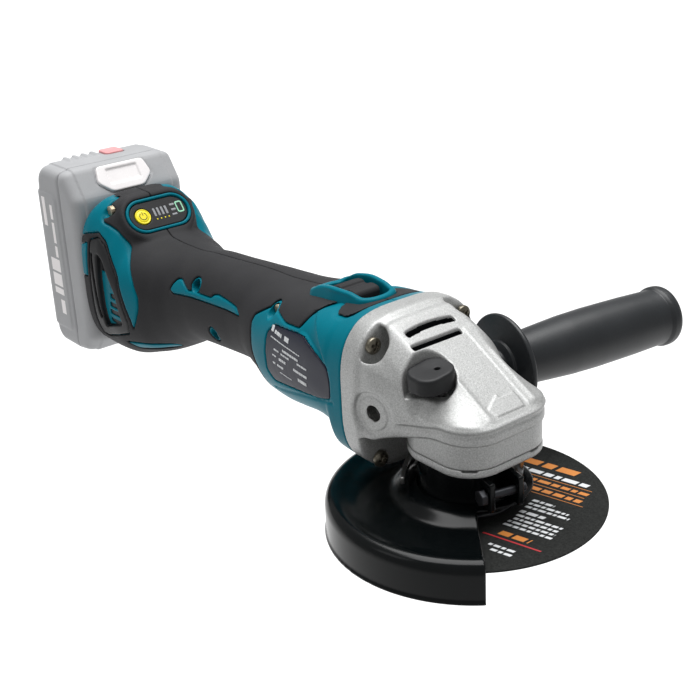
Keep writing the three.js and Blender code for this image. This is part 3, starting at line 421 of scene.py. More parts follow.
def build_body():
    """The clamshell halves with their skins, plates and vents: the left side, and its mirror image."""
    X, Y, Z, place = grid((-292, -1.3, -7), (-45, 40.5, 97.5), 0.52)
    base = loft(BODY, X, Y, Z, place)
    a, w = on_display(X, Z)
    pod = smax(rect(a, Y, 13.6, 23.4, 12.5), np.maximum(w - 1.5, -w - 9), 2.2)
    base = smin(base, pod, 5)
    plain = base
    plate = np.where(Y > 12, region(rounded(PLATE_EDGE, 1.6), X, Z), 9)
    # dished facet behind the front ring and the groove under the data plate
    along, across = (X + 68.5) * 0.67 - (Z - 63) * 0.74, (X + 68.5) * 0.74 + (Z - 63) * 0.67
    dish = np.clip(1 - (along / 19) ** 2 - (across / 7) ** 2, 0, None)
    base = base + np.where(Y > 12, 1.7 * np.sqrt(dish), 0) * step01(plate, 0.2, 1.6)
    groove = to_line([(-108.5, 30.5), (-78.2, 37.3), (-53.6, 42.4)], X, Z)
    base = base + 0.7 * bump(groove, 0.8) * step01(Y, 10, 14)
    base = smax(base, X - FRONT_END, 1.0)
    base = smax(base, BACK_END - X, 2.5)
    seam = 0.12 - Y
    wells = [np.hypot(X - x, Z - z) for x, z, _ in SCREWS]
    sides = [
        np.where(Y > 12, region(rounded(p), X, Z), 9)
        for p in (GRIP_INLAY, REAR_TRIM, REAR_STRIP, FOOT_PATCH)
    ]
    panels = region(rounded(FRONT_PANEL, 1), X, Z)
    for side in sides:
        panels = np.minimum(panels, side)
    for well in wells[:3]:
        panels = np.minimum(panels, np.where(Y > 8, well - 4.2, 9))
    vent = np.where(Y > 12, region(rounded(VENT, 1), X, Z), 9)
    ring_hole = smax(rect(a, Y, 11, 21, 10.9), -w - 4, 0.5)
    switch = smax(switch_plan(X, Y) - 0.35, 72 - Z, 0.5)
    cuts = np.minimum(ring_hole, switch)
    for (x, z, seat), well in zip(SCREWS, wells):
        cuts = np.minimum(cuts, smax(well - 3.25, seat - Y, 0.5))
    # the hood's rear upper corner is scooped for a screw
    scoop = np.sqrt(((X + 271.5) / 1.5) ** 2 + ((Z - 86) / 1.0) ** 2 + ((Y - 37) / 2.2) ** 2) - 4.6
    hollow = -(base + 5.4)
    shell = np.minimum(smax(base, panels + 0.3, 0.9), base + SKIN)
    shell = smax(shell, -smax(plate - 0.35, -(plain + 1.1), 0.3), 0.4)
    shell = smax(shell, -smax(vent - 0.3, -(base + 7), 0.5), 0.5)
    shell = np.maximum(smax(smax(smax(shell, -cuts, 0.6), hollow, 0.5), -scoop, 0.8), seam)
    skin = smax(smax(base, -(panels - 0.3), 0.9), -(base + SKIN - 0.1), 0.3)
    skin = smax(smax(skin, -(vent - 0.45), 0.8), -cuts, 0.9)
    skin = smax(smax(skin, -scoop, 1.2), seam, 0.7)
    plates = smax(smax(plain + 0.25, plate, 0.35), -(plain + 1.0), 0.2)
    # vent frame: bevelled black plastic rails round a sloping recess with a ladder of windows at its foot; the
    # black floor of the recess above the ladder and the black behind the ladder's windows are painted shade
    recess = region(rounded(VENT_RECESS, 2), X, Z)
    slot = to_line(VENT_GROOVE, X, Z) - 1.1
    frame_top = smax(base + 0.2, vent, 1.4)
    frames_and_shade = smax(frame_top, -smax(recess, -(base + 4.2), 1.6), 1.2)
    frames_and_shade = smax(frames_and_shade, -smax(slot, -(base + 3), 0.8), 0.6)
    # the frame reaches 6.6 mm deep so that its black shows behind the ladder's windows as painted shade
    frames_and_shade = smax(frames_and_shade, -(base + 6.6), 0.4)
    ladder = smax(recess + 0.6, base + 3.4, 0.3)
    ladder = smax(smax(ladder, Z - 53, 0.3), -(base + 4.4), 0.3)
    for k, zc in enumerate((46, 39, 33.5, 28.5, 22.6)):
        left, right = -263.2 - 1.5 * k, -259.4 + 1.1 * k
        window = rect(X - (left + right) / 2, Z - zc, (right - left) / 2, 1.5, 0.4)
        ladder = smax(ladder, -window, 0.3)
    for name, turn in (("left", lambda shape: shape), ("right", flipped)):
        piece(f"shell_{name}", turn(surface(shell, place)), TEAL, "tool", [f"body_shell_{name}"])
        piece(f"grip_{name}", turn(surface(skin, place)), RUBBER, "tool", [f"grip_skin_{name}"])
        piece(f"rating_plate_{name}", turn(surface(plates, place)), PLATE, "tool",
              [f"data_plate_{name}"])
        piece(f"vent_frame_and_shade_{name}", turn(surface(frames_and_shade, place)), BLACK, "tool",
              [f"vent_grille_{name}"])
        piece(f"vent_ladder_{name}", turn(surface(ladder, place)), TEAL, "tool")


# ---------------------------------------------------------------- switch
def switch_plan(X, Y, inset=0.0):
    """The slider surround's outline from above."""
    half = [(-101.4, 3.6), (-97.4, 12.4), (-79, 13.4), (-60.4, 11), (-57.4, 3.6)]
    ring = half + [(x, -y) for x, y in half[::-1]]
    return region(rounded(ring, 2.5), X, Y) + inset


def build_switch():
    """The surround, the thumb piece of the slider, and a near-black sheet under it that is painted shade."""
    X, Y, Z, place = grid((-104, -18, 71), (-54, 18, 89), 0.42)
    # rails rise to a peak beside the slider, and the end bars are lower
    peak = table([[-101.5, 80.2], [-97, 81.4], [-90, 84.6], [-79, 86.2], [-70, 86], [-62, 84.6], [-57, 84.2]], X)[0]
    middle = table([[-101.5, 79.6], [-97, 79.8], [-61, 84.1], [-57, 84.2]], X)[0]
    top = middle + (peak - middle) * step01(np.abs(Y), 5, 10)
    flare = np.clip(84 - Z, 0, 8) * 0.22
    plan = switch_plan(X, Y)
    outer = smax(plan - flare, Z - top, 1.6)
    ring = smax(smax(outer, -(plan + 3), 1.1), 72.6 - Z, 0.3)
    piece("switch_surround", surface(ring, place), TEAL, "tool", ["switch_frame"])
    X, Y, Z, place = grid((-92.5, -9, 76), (-66.5, 9, 87), 0.34)
    top = table([[-92, 80.6], [-90, 81.6], [-86.5, 83.6], [-82, 84.9], [-80.6, 84.6], [-79.6, 83.7],
                 [-76.6, 83.8], [-75.4, 84.6], [-73, 85.0], [-70, 84.6], [-68.2, 83.2]], X)[0]
    ribs = 0.25 * np.cos((X + 86) * 2 * math.pi / 1.9) * step01(-X, 82.5, 83.5) * step01(X, -90.5, -89.5)
    block = smax(rect(X + 79.5, Y, 11.2, 7.5, 1.2), (Z - top - ribs) * 0.85, 1.0)
    block = smax(block, 77.4 - Z, 0.4)
    piece("switch_thumb", surface(block, place), RUBBER, "switch", ["switch_slider"])
    # a thin near-black sheet below the slider: painted shade for the hollow under the switch
    X, Y, Z, place = grid((-100, -12, 75.6), (-59, 12, 78), 0.5)
    floor = smax(smax(switch_plan(X, Y, 3.2), Z - 76.8, 0.3), 76.1 - Z, 0.2)
    piece("switch_painted_shade", surface(floor, place), PAINTED_SHADE, "tool")


# ---------------------------------------------------------------- display
def display_turn():
    """Turns z into the hood face's normal, at the display's centre."""
    c, s = math.cos(TILT), math.sin(TILT)
    return [[c, 0, s], [0, 1, 0], [-s, 0, c]], (DISPLAY_AT[0], 0, DISPLAY_AT[1])


KEY_Y = -10.5                     # the power key's place across the display


def build_display():
    """The rim, face, power key and marks, drawn flat and then laid on the hood."""
    at = display_turn()
    X, Y, Z, place = grid((-11.5, -21.5, -1.8), (11.5, 21.5, 3.4), 0.32)
    ring = smax(rect(X, Y, 10.7, 20.7, 10.6), -rect(X, Y, 9, 19, 8.9), 0.6)
    ring = smax(ring, np.maximum(Z - 2.3, -1 - Z), 0.7)
    piece("display_rim", surface(ring, place), TEAL, "tool", ["display_ring"], place=at)
    panel = smax(smax(rect(X, Y, 8.6, 18.6, 8.5), np.maximum(Z - 1.4, -1 - Z), 0.5),
                 -(np.hypot(X, Y - KEY_Y) - 5.2), 0.3)
    piece("display_face", surface(panel, place), BLACK, "tool", ["display_panel"], place=at)
    r = np.hypot(X, Y - KEY_Y)
    key = smax(r - 4.8, np.maximum(Z - 2.0, -1 - Z), 0.6)
    key = key + 0.4 * bump(r - 3.8, 0.4)
    piece("power_key_cap", surface(key, place), YELLOW, "power_key", ["power_button"], place=at)
    # power mark: an open circle with a bar
    arc = np.maximum(np.abs(r - 2.2) - 0.28, 0.9 - np.hypot(X + 2.2, Y - KEY_Y))
    bar = rect(X + 1.7, Y - KEY_Y, 1.2, 0.28, 0.2)
    mark = smax(np.minimum(arc, bar), np.maximum(Z - 2.1, 1.4 - Z), 0.1)
    piece("power_mark", surface(mark, place), BLACK, "power_key", place=at)
    bars, dots = FAR, FAR
    for k in range(4):
        y = -2.4 + 2.6 * k
        bars = np.minimum(bars, rect(X + 0.9, Y - y, 2.7, 0.75, 0.3))
        dots = np.minimum(dots, rect(X - 3.6, Y - y, 0.55, 0.5, 0.3))
    for k, (x, y) in enumerate(((-3.2, 10.2), (0, 10), (3, 9.6))):
        bars = np.minimum(bars, rect(X - x, Y - y, 0.7, 1.7, 0.3))
    thin = np.maximum(Z - 1.55, 1.1 - Z)
    piece("display_bars", surface(smax(bars, thin, 0.1), place), GREY_PRINT, "tool", place=at)
    piece("display_dots", surface(smax(dots, thin, 0.1), place), YELLOW, "tool", place=at)
    cell = np.abs(rect(X + 0.8, Y - 14.4, 3.2, 1.8, 0.7)) - 0.5
    piece("display_cell", surface(smax(cell, thin, 0.1), place), MINT, "tool", place=at)


# ---------------------------------------------------------------- gear head
HEAD_BACK, FLANGE_FRONT, COVER_TOP, COVER_LOW = -46.0, -34.0, 31.4, 27.6
BOSS, BOSS_Y = (-27.3, 45.1), 33.8    # a side-handle boss: x and z of its axis, and y of its face
SWEEP = math.radians(7.5)             # the side handle and its bosses point forward
MOTOR_Z = 46.5                        # height of the motor's axis
ROOF_Z, ROOF_X, ROOF_SLOPE = 83.5, -30, 0.58
POCKET_FLOOR = 57
LOCK_PIN = (-3.5, -13)
ARROW = [(20.6, -8.6), (16, 0.5), (17.6, 1), (17.6, 9.4), (20.9, 9.7), (25, 9), (25, -7)]
# sections of the flange and barrel, as in BODY
REAR = [
    [-46, 36.8, 85.2, 9.6, 3.3], [-37, 37, 85.7, 9.4, 3.3], [-30, 35.6, 84.6, 14, 3.1],
    [-18, 32, 80, 20, 2.8], [-4, 29.2, 74, 22, 2.6], [8, 27.5, 68, 23, 2.6],
]


def head_plan(X, Y, grow=0.0):
    """The gear head's outline from above, rounded at the front."""
    return rect(X + 7, Y, 35 + grow, 27.5 + grow, 17 + grow)


def barrel_plan(X, Y, grow=0.0):
    """The lower part's outline from above, round at the back."""
    behind = np.where(X < 0, np.hypot(X, Y) - 28.2 - grow, -9)
    return np.maximum(head_plan(X, Y, grow), behind)


def to_boss(X, Y, Z):
    """Distances from a side-handle boss: from its axis, and outwards from its face."""
    dx, dy = X - BOSS[0], np.abs(Y) - BOSS_Y
    across = dx * math.cos(SWEEP) - dy * math.sin(SWEEP)
    return np.hypot(across, Z - BOSS[1]), dx * math.sin(SWEEP) + dy * math.cos(SWEEP)


def first_slot(x, y):
    """Distance forward of the bowed rear slot's middle."""
    return x + 22.1 + 1.3 * (1 - ((y + 2.6) / 14) ** 2)


def build_housing():
    """The cast gear head."""
    X, Y, Z, place = grid((-47, -38.6, 8), (29.8, 38.6, 87.5), 0.44)
    body = loft(REAR, X, Y, Z, place)
    flange = smax(body, X - FLANGE_FRONT, 3.0)
    roof = ROOF_Z - ROOF_SLOPE * (X - ROOF_X)
    ridge = table([[-40, 36], [-24.6, 42], [-7.8, 46.4], [2.2, 48.4], [12, 50.5], [28, 50.6]], X)[0]
    edge = np.where(Y < 0, 11.4 + 6.4 * step01(-X, 3, 14), 16.4)
    out = np.clip((np.abs(Y) - edge) / (27.5 - edge), 0, 1)
    ahead = roof - (roof - ridge) * (0.35 * out + 0.65 * out ** 1.6)
    beyond = np.maximum(np.abs(Y) - edge - 1.5, 0)
    behind = roof - 1.25 * beyond * beyond / (beyond + 3)
    mix = step01(-X, -6, 14)
    flank = ahead * (1 - mix) + behind * mix
    lip = 0.35 * bump(np.abs(Y) - edge, 1.6) * step01(X, -6, 2) * step01(-X, -27, -24)
    trim = 0.4 * step01(Y, 11.4, 12.0) * step01(-X, -26, -24) * step01(X, -17, -15)
    arrow = region(ARROW, X, Y)
    top = flank + lip + trim + 0.4 * step01(-arrow, -0.25, 0.25)
    over = (Z - top) * 0.78
    # upper part: the roof and flanks over a wall, with a beaded parting ridge between them
    head = smax(smax(head_plan(X, Y, 0.12), over, 1.5), -30 - X, 3)
    shoulders = smax(smax(body, over, 2.0), head_plan(X, Y, 0.2 + 10 * step01(-X, -10, 16)), 4)
    upper = smin(shoulders, head, 3.0)
    bead = 0.5 * bump(Z - ridge + 0.6, 0.75) - 0.35 * bump(Z - ridge + 2.6, 1.0)
    upper = upper - bead * step01(X, -18, -10) * step01(np.abs(Y) + np.maximum(X, 0), 14, 20)
    arch = table([[-40, 18], [-34, 27], [-32.9, 28.1], [-25.1, 32.6], [-18.7, 34.9], [-8.2, 38.3], [5.4, 42.2],
                  [14, 43]], X)[0]
    upper = smax(upper, (arch - Z) * 0.9, 0.8)
    barrel = smax(barrel_plan(X, Y, -0.05), over + 2, 2)
    lower = np.minimum(upper, barrel)
    lower = np.maximum(lower, COVER_TOP + 0.15 - Z)
    solid = smin(lower, flange, 2.2)
    solid = np.maximum(solid, HEAD_BACK - X)
    # nearly flush boss faces for the side handle, each with a threaded hole
    r, s = to_boss(X, Y, Z)
    solid = smin(solid, smax(r - 8.2, s + 0.1, 0.7), 1.0)
    solid = smax(solid, -smax(r - 9.6, 0.25 - s, 0.5), 3.0)
    solid = solid + 0.2 * bump(r - 8.5, 0.4) * step01(s, -4, -2)
    hole = smax(r - 3.9 - 0.2 * np.cos(s * 2 * math.pi / 1.25), -9.6 - s, 0.3)
    solid = smax(solid, -hole, 0.35)
    # screw scoops, button pocket and cooling slots
    scoops = [((-34, -24.6, 71.2), (9.6, 8.8, 11.6), 1.8), ((-34, 28.5, 77), (15.5, 14.5, 12.5), 1.2)]
    for (cx, cy, cz), (rx, ry, rz), soft in scoops:
        ball = (np.sqrt(((X - cx) / rx) ** 2 + ((Y - cy) / ry) ** 2 + ((Z - cz) / rz) ** 2) - 1) * min(rx, ry)
        solid = smax(solid, -smax(ball, FLANGE_FRONT - 0.4 - X, 0.4), soft)
    pocket = rect(X + 4.0, Y + 19.4, 9.4, 11.4, 8.4)
    outer_side = np.clip(((X + 4) * 0.6 - (Y + 17.5) * 0.8) / 9, 0, 1)
    rim = np.clip(Z - POCKET_FLOOR, 0, 14) * 0.4 * outer_side
    solid = smax(solid, -smax(pocket - rim, POCKET_FLOOR - Z, 0.6), 1.0)
    slots = np.minimum(rect(first_slot(X, Y), Y + 2.6, 1.6, 14.4, 1.3), rect(X + 15.7, Y + 4.6, 1.4, 14.6, 0.9))
    solid = smax(solid, -np.maximum(slots, 66 - Z), 0.35)
    spring_well = np.maximum(np.hypot(X - LOCK_PIN[0], Y - LOCK_PIN[1]) - 4.9,
                             np.maximum(53.4 - Z, Z - POCKET_FLOOR - 1))
    solid = np.maximum(solid, -spring_well)
    # space inside for the gears and the motor's fan
    from_motor = np.hypot(Y, Z - MOTOR_Z)
    bore = np.minimum(np.maximum(np.hypot(X, Y) - 23.5, Z - 50), np.maximum(from_motor - 27, X + 36.8))
    bore = np.minimum(bore, np.maximum(from_motor - 13.4, X + 23))
    solid = np.maximum(solid, -bore)

    def casting_finish_and_shade(x, y, z):
        """0 for bare metal, 1 for painted shade in the slots and inside, 2 on the threads."""
        in_slot = ((np.abs(first_slot(x, y)) < 1.75) | (np.abs(x + 15.7) < 1.55)) & (np.abs(y + 3.6) < 16)
        inside = (np.hypot(x, y) < 24) & (z < 51) | (x < -45.6) & (np.hypot(y, z - MOTOR_Z) < 28)
        # the slot walls below the roof and the hollows inside get painted shade
        shaded = in_slot & (z < ROOF_Z - 0.3 - ROOF_SLOPE * (x - ROOF_X)) | inside
        r, s = to_boss(x, y, z)
        return np.where((r < 4.3) & (s < -0.4) & (s > -6), 2, shaded)

    piece("gear_head_casting", surface(solid, place), [CAST, PAINTED_SHADE, STEEL], "tool",
          ["gear_housing"], pick=casting_finish_and_shade)


LEVER_PIVOT = (-29, -7)


def build_cover():
    """The plate under the head, with the neck the guard clamps to and the lever's boss."""
    X, Y, Z, place = grid((-34, -29.4, 7.2), (29.8, 29.4, 32.6), 0.5)
    plate = smax(barrel_plan(X, Y, 0.25), np.maximum(Z - COVER_TOP + 0.15, COVER_LOW - Z), 1.0)
    neck = smax(np.hypot(X, Y) - 21, 8 - Z, 0.6)
    neck = np.maximum(neck, Z - 30)
    from_pivot = np.hypot(X - LEVER_PIVOT[0], Y - LEVER_PIVOT[1])
    boss = np.maximum(smax(from_pivot - 3.6, 17.3 - Z, 0.6), Z - 30)
    arm = smax(rect(X + 26, Y + 6.4, 6, 3.4, 2.5), np.maximum(Z - COVER_TOP + 0.3, 26 - Z), 0.6)
    solid = smin(smin(smin(plate, neck, 1.2), boss, 1.2), arm, 1.5)
    for r, z in ((16.3, 12), (23.5, 30), (11, 0)):
        solid = np.maximum(solid, -np.maximum(np.hypot(X, Y) - r, z - Z))
    for x, y in ((22.5, -21.8), (27.6, 13.5), (-17, -22.5)):
        notch = np.maximum(np.hypot(X - x, Y - y) - 3.4, 30.3 - Z)
        solid = smax(solid, -notch, 0.3)
    solid = smax(solid, -(from_pivot - 2.2), 0.2)
    piece("bearing_cover_casting", surface(solid, place), [CAST, GUARD], "tool", ["bearing_cover"],
          pick=lambda x, y, z: (np.hypot(x, y) < 22) & (z < COVER_LOW + 0.2))


def build_screws():
    """Four domed cross-head screws in front of the flange."""
    X, Y, Z, place = grid((-0.4, -4.6, -4.6), (4.2, 4.6, 4.6), 0.24)
    r = np.hypot(Y, Z)
    dome = np.sqrt((X + 4.2) ** 2 + r * r) - 7.4
    head = smax(smax(r - 4, dome, 0.5), 0.1 - X, 0.3)
    cross = np.minimum(rect(Y, Z, 2.3, 0.62, 0.25), rect(Y, Z, 0.62, 2.3, 0.25))
    cross = smin(cross, r - 1.1, 0.4)
    cross = np.maximum(cross, 1.0 + 0.35 * r - X)
    head = smax(head, -cross, 0.2)
    shape = surface(head, place)
    for where, y, z in (("lower", 25.6, 17.6), ("upper", 27.3, 74.6)):
        for side, name in ((-1, "right"), (1, "left")):
            turn = np.eye(3)
            spin = math.radians(20 + 31 * side + z)
            turn[1:, 1:] = [[math.cos(spin), -math.sin(spin)], [math.sin(spin), math.cos(spin)]]
            piece(f"screw_head_{where}_{name}", shape, SCREW, "tool",
                  [f"head_screw_{where}_{name}"], place=(turn, (FLANGE_FRONT + 0.2, side * y, z)))


def build_lock():
    """The spindle lock's thumb button."""
    X, Y, Z, place = grid((-15, -30.4, 59), (7, -6, 73), 0.36)
    plan = rect(X + 4.2, Y + 19.0, 8.9, 10.2, 7.6)
    # thumb pad that dips towards the outer side, with a small pit near its inner rear edge
    pad = Z - 69.9 + 0.04 * (X + 4) - 0.13 * (Y + 17.5) + 0.4 * bump(np.hypot((X + 4) / 5, (Y + 17.5) / 6), 1)
    cap = smax(plan, pad, 1.6)
    pit = np.hypot(X + 2.8, Y + 16.4) - 1.3
    cap = smax(smax(cap, -np.maximum(pit, 68 - Z), 0.3), 61 - Z, 0.3)
    cap = np.maximum(cap, -np.maximum(np.hypot(X - LOCK_PIN[0], Y - LOCK_PIN[1]) - 4.7, Z - 66))
    piece("lock_cap", surface(cap, place), BLACK, "spindle_lock", ["lock_button"])


# ---------------------------------------------------------------- guard, wheel and spindle
GUARD_AXIS = math.radians(-128.5)     # the way the closed half of the guard faces
BOLT = (29, 17.5)                     # x and z of the clamp bolt, before the clamp is turned


def build_guard():
    """The half guard, its clamp and bolt, and the release lever with its pin."""
    X, Y, Z, place = grid((-70, -70, -15), (70, 70, 13), 0.62)
    R = np.hypot(X, Y)
    middle = [(24.9, 9.8), (30, 8.7), (37, 4.3), (57, 4.3), (62.6, 6), (65.2, 4.8), (66.3, 2.4), (66.3, -11.4),
              (67, -12.2)]
    sheet = to_line(filleted(middle, 2.2, 4), R, Z) - 0.85
    ahead = X * math.cos(GUARD_AXIS) + Y * math.sin(GUARD_AXIS)
    half = smax(sheet, -ahead, 0.5)
    shoulder = smax(sheet, R - 28.5, 0.6)
    shell = np.minimum(half, shoulder)
    piece("guard_bowl", surface(shell, place), GUARD, "guard", ["guard_shell"])
    # collar and clamp, drawn with the clamp on +x and then turned
    X, Y, Z, place = grid((-25, -25, 6.6), (35, 25, 28), 0.45)
    R = np.hypot(X, Y)
    turn = math.radians(-15)
    spin = [[math.cos(turn), -math.sin(turn), 0], [math.sin(turn), math.cos(turn), 0], [0, 0, 1]], (0, 0, 0)
    ring = smax(np.abs(R - 22.65) - 1.35, np.maximum(Z - 26.8, 7.6 - Z), 0.5)
    ring = smin(ring, np.hypot(R - 23.4, Z - 8.4) - 1.5, 0.8)
    lugs = smax(rect(X - 26.4, np.abs(Y) - 7, 6.6, 1.45, 0.5), np.maximum(Z - 25, 11 - Z), 0.7)
    clamp = smin(ring, lugs, 1.6)
    clamp = smax(clamp, -np.maximum(np.abs(Y) - 5.5, 14 - X), 0.5)
    clamp = smax(clamp, -(np.hypot(X - BOLT[0], Z - BOLT[1]) - 2.3), 0.3)
    clamp = np.maximum(clamp, 21.3 - R)
    piece("clamp_collar", surface(clamp, place), GUARD, "guard", ["guard_collar"], place=spin)
    X, Y, Z, place = grid((24, -13, 12.5), (34, 12.5, 22.5), 0.32)
    u, v = X - BOLT[0], Z - BOLT[1]
    r = np.hypot(u, v)
    hexagon = np.maximum(np.abs(u), np.maximum(np.abs(u * 0.5 + v * 0.866), np.abs(u * 0.5 - v * 0.866))) - 3.4
    bolt = np.minimum(smax(hexagon, np.maximum(-12 - Y, Y + 8.9), 0.5),
                      smax(r - 2 - 0.12 * np.cos(Y * 2 * math.pi / 0.9), np.abs(Y) - 11.4, 0.4))
    piece("clamp_screw", surface(bolt, place), DARK_STEEL, "guard", ["clamp_bolt"], place=spin)
    X, Y, Z, place = grid((-33, -32, 12), (-11, -3, 18.2), 0.36)
    arm = region(rounded([(-31.5, -4.5), (-31.5, -9), (-26, -17), (-19, -25), (-13.5, -30.5), (-12.4, -28.6),
                          (-17.4, -23.6), (-23.6, -15.6), (-26.2, -9), (-26.2, -4.5)], 2), X, Y)
    arm = smax(arm, np.maximum(Z - 17, 13.2 - Z), 0.8)
    arm = smax(arm, -(np.hypot(X - LEVER_PIVOT[0], Y - LEVER_PIVOT[1]) - 2.3), 0.2)
    piece("lever_arm", surface(arm, place), STEEL, "release_lever", ["guard_lever"])
    pin = filleted([(0, 10.8), (3.4, 10.8), (3.4, 12.9), (2, 12.9), (2, 30.4), (0, 30.4)], 0.4)
    piece("lever_pivot", turned(pin, 40), STEEL, "tool", ["guard_lever_pin"],
          place=(np.eye(3), (*LEVER_PIVOT, 0)))


def build_wheel():
    """The disc, its flange and nut, and the spindle."""
    edge = [(11.4, -0.6), (11.4, 0.6), (30, 0.6), (61.9, 0.62), (62.5, 0.35), (62.4, -0.3), (62, -0.6), (30, -0.6),
            (11.4, -0.6)]
    piece("cutting_disc", turned(filleted(edge, 0.2, 3), 200), DISC, "spindle_group",
          ["cutting_wheel"])
    ring = filleted([(7.4, 0.62), (17.6, 0.62), (17.6, 0.8), (7.4, 0.8), (7.4, 0.62)], 0.05, 2)
    piece("arbor_ring", turned(ring, 96), DARK_STEEL, "spindle_group")
    flange = [(7.2, -0.3), (11, -0.3), (11, 0.9), (21, 0.9), (21, 2.6), (17, 4.4), (13, 6.5), (7.2, 6.5),
              (7.2, -0.3)]
    piece("backing_flange", turned(filleted(flange, 0.5), 96), DARK_STEEL, "spindle_group",
          ["inner_flange"])
    X, Y, Z, place = grid((-21.4, -21.4, -9.4), (21.4, 21.4, 0.2), 0.5)
    R = np.hypot(X, Y)
    nut = smax(smax(R - 20, np.maximum(Z + 0.9, -8.5 - Z), 0.6), (R - 20 - (Z + 4) * 0.9) * 0.74, 0.8)
    nut = smax(nut, 7.2 - R, 0.4)
    for k in range(4):
        x, y = 11.5 * math.cos(k * math.pi / 2), 11.5 * math.sin(k * math.pi / 2)
        nut = smax(nut, -np.maximum(np.hypot(X - x, Y - y) - 2.2, Z + 5.5), 0.3)
    piece("locking_nut", surface(nut, place), DARK_STEEL, "spindle_group", ["clamp_nut"])
    turns = [(6.9 - 0.7 * (k % 2), -11 + 0.5 * k) for k in range(40)]
    shaft = [(0, -12), (5.6, -12)] + turns + [(6, 9.2), (6, 24), (6.8, 24), (6.8, 30), (6, 30), (6, 42), (4.6, 42),
                                              (4.6, 57), (0, 57)]
    piece("drive_spindle", turned(shaft, 64), STEEL, "spindle_group", ["spindle"])


LABEL_TURN = math.radians(13.5)
WORDS = [4.6, 2.8, 5.4, 3.4, 2.2, 6.0, 3.8, 4.2, 2.6]     # lengths of the bars that stand for words
LABEL = [
    # colour, start along the row, row height on the disc, row length, letter height
    ("orange", 1, 45.2, 29, 4.8), ("white", 4, 37.4, 36, 3.0), ("orange", 10, 33.9, 34, 0.35),
    ("orange", 10, 30.2, 34, 2.4), ("orange", 13, 26.6, 31, 0.35), ("orange", 16, 22.9, 28, 2.8),
    ("orange", 19, 19.4, 28, 0.35), ("white", 25, 13, 11, 1.7), ("white", 25, 9.6, 20, 1.6),
    ("white", 25, 6.4, 22, 1.6), ("white", 25, 1.6, 12.5, 2.2), ("white", 25.5, -2.2, 23, 1.6),
    ("white", 26, -5.4, 22, 1.6), ("white", 25, -8.6, 23.5, 1.6), ("white", 24.6, -11.8, 24, 1.6),
    ("orange", 27, -19, 15, 3.4), ("red", 21, -23.2, 29, 0.9), ("white", 28, -29.6, 13, 1.6),
    ("white", 31, -33, 11, 1.6),
]


def build_label():
    """Plain bars in place of the disc's lettering, on the side that faces up."""
    c, s = math.cos(LABEL_TURN), math.sin(LABEL_TURN)
    for name, finish in (("orange", ORANGE), ("white", PRINT), ("red", RED)):
        points, faces = [], []
        for row, (colour, start, height, length, tall) in enumerate(LABEL):
            at, word = start, row
            while colour == name and at < start + length:
                step = WORDS[word % len(WORDS)] * max(0.5, tall / 2.4)
                if tall < 1:
                    step = length
                stop = min(at + step, start + length)
                lean = 0.25 * tall
                ring = [(at, -tall / 2), (stop, -tall / 2), (stop + lean, tall / 2), (at + lean, tall / 2)]
                b = len(points)
                points += [(u * c - (v + height) * s, u * s + (v + height) * c, z)
                           for z in (0.56, 0.68) for u, v in ring]
                faces += [[b + 3, b + 2, b + 1, b], [b + 4, b + 5, b + 6, b + 7]]
                faces += [[b + i, b + (i + 1) % 4, b + 4 + (i + 1) % 4, b + 4 + i] for i in range(4)]
                at, word = stop + 0.4 * tall + 0.2, word + 1
        piece(f"disc_label_{name}", (np.array(points), faces), finish, "spindle_group", smooth=False)


# ---------------------------------------------------------------- side handle
def build_handle():
    """The side handle's grip, turned about its stud."""
    end = 116.2
    profile = [(0, 0), (8, 0), (8, 9), (12, 10.3), (12, 11.6), (24.6, 11.6), (25, 13), (24.4, 14.3), (17, 14.9),
               (13.4, 16.4), (12.8, 19), (13.8, 32), (15, 50), (15.35, 66), (15.1, 90), (14.65, end - 12),
               (14.6, end - 7), (15.2, end - 6.2), (15.7, end - 5.2), (15.7, end - 2), (14.8, end),
               (12.4, end), (11.8, end - 0.8), (11.4, end - 2.2), (0, end - 2.2)]
    c, s = math.cos(SWEEP), math.sin(SWEEP)
    turn = [[c, 0, s], [-s, 0, c], [0, -1, 0]]
    hub = BOSS[0] + 0.4 * s, BOSS_Y + 0.4 * c, BOSS[1]
    piece("handle_grip", turned(filleted(profile, 1.0, 5), 120), HANDLE, "side_handle",
          ["side_handle_grip"], place=(turn, hub))


# ---------------------------------------------------------------- battery
# the pack's outline from the side as (x, z), and its printed bars as (x, z, width, height)
PACK_SIDE = [(-290, 3), (-298, -7), (-310, -9), (-332, -9), (-340, -3), (-342, 9), (-342, 90), (-339, 100),
             (-331, 106), (-302, 106), (-290, 90)]
PACK_PRINT = [(-328.5, 78, 4, 18), (-319.5, 79, 3, 9), (-319.5, 66, 3, 13), (-319.5, 54, 3, 7), (-323, 45, 11, 8),
              (-323, 35.5, 11, 8), (-323, 28, 11, 4), (-320.5, 18, 5, 9)]


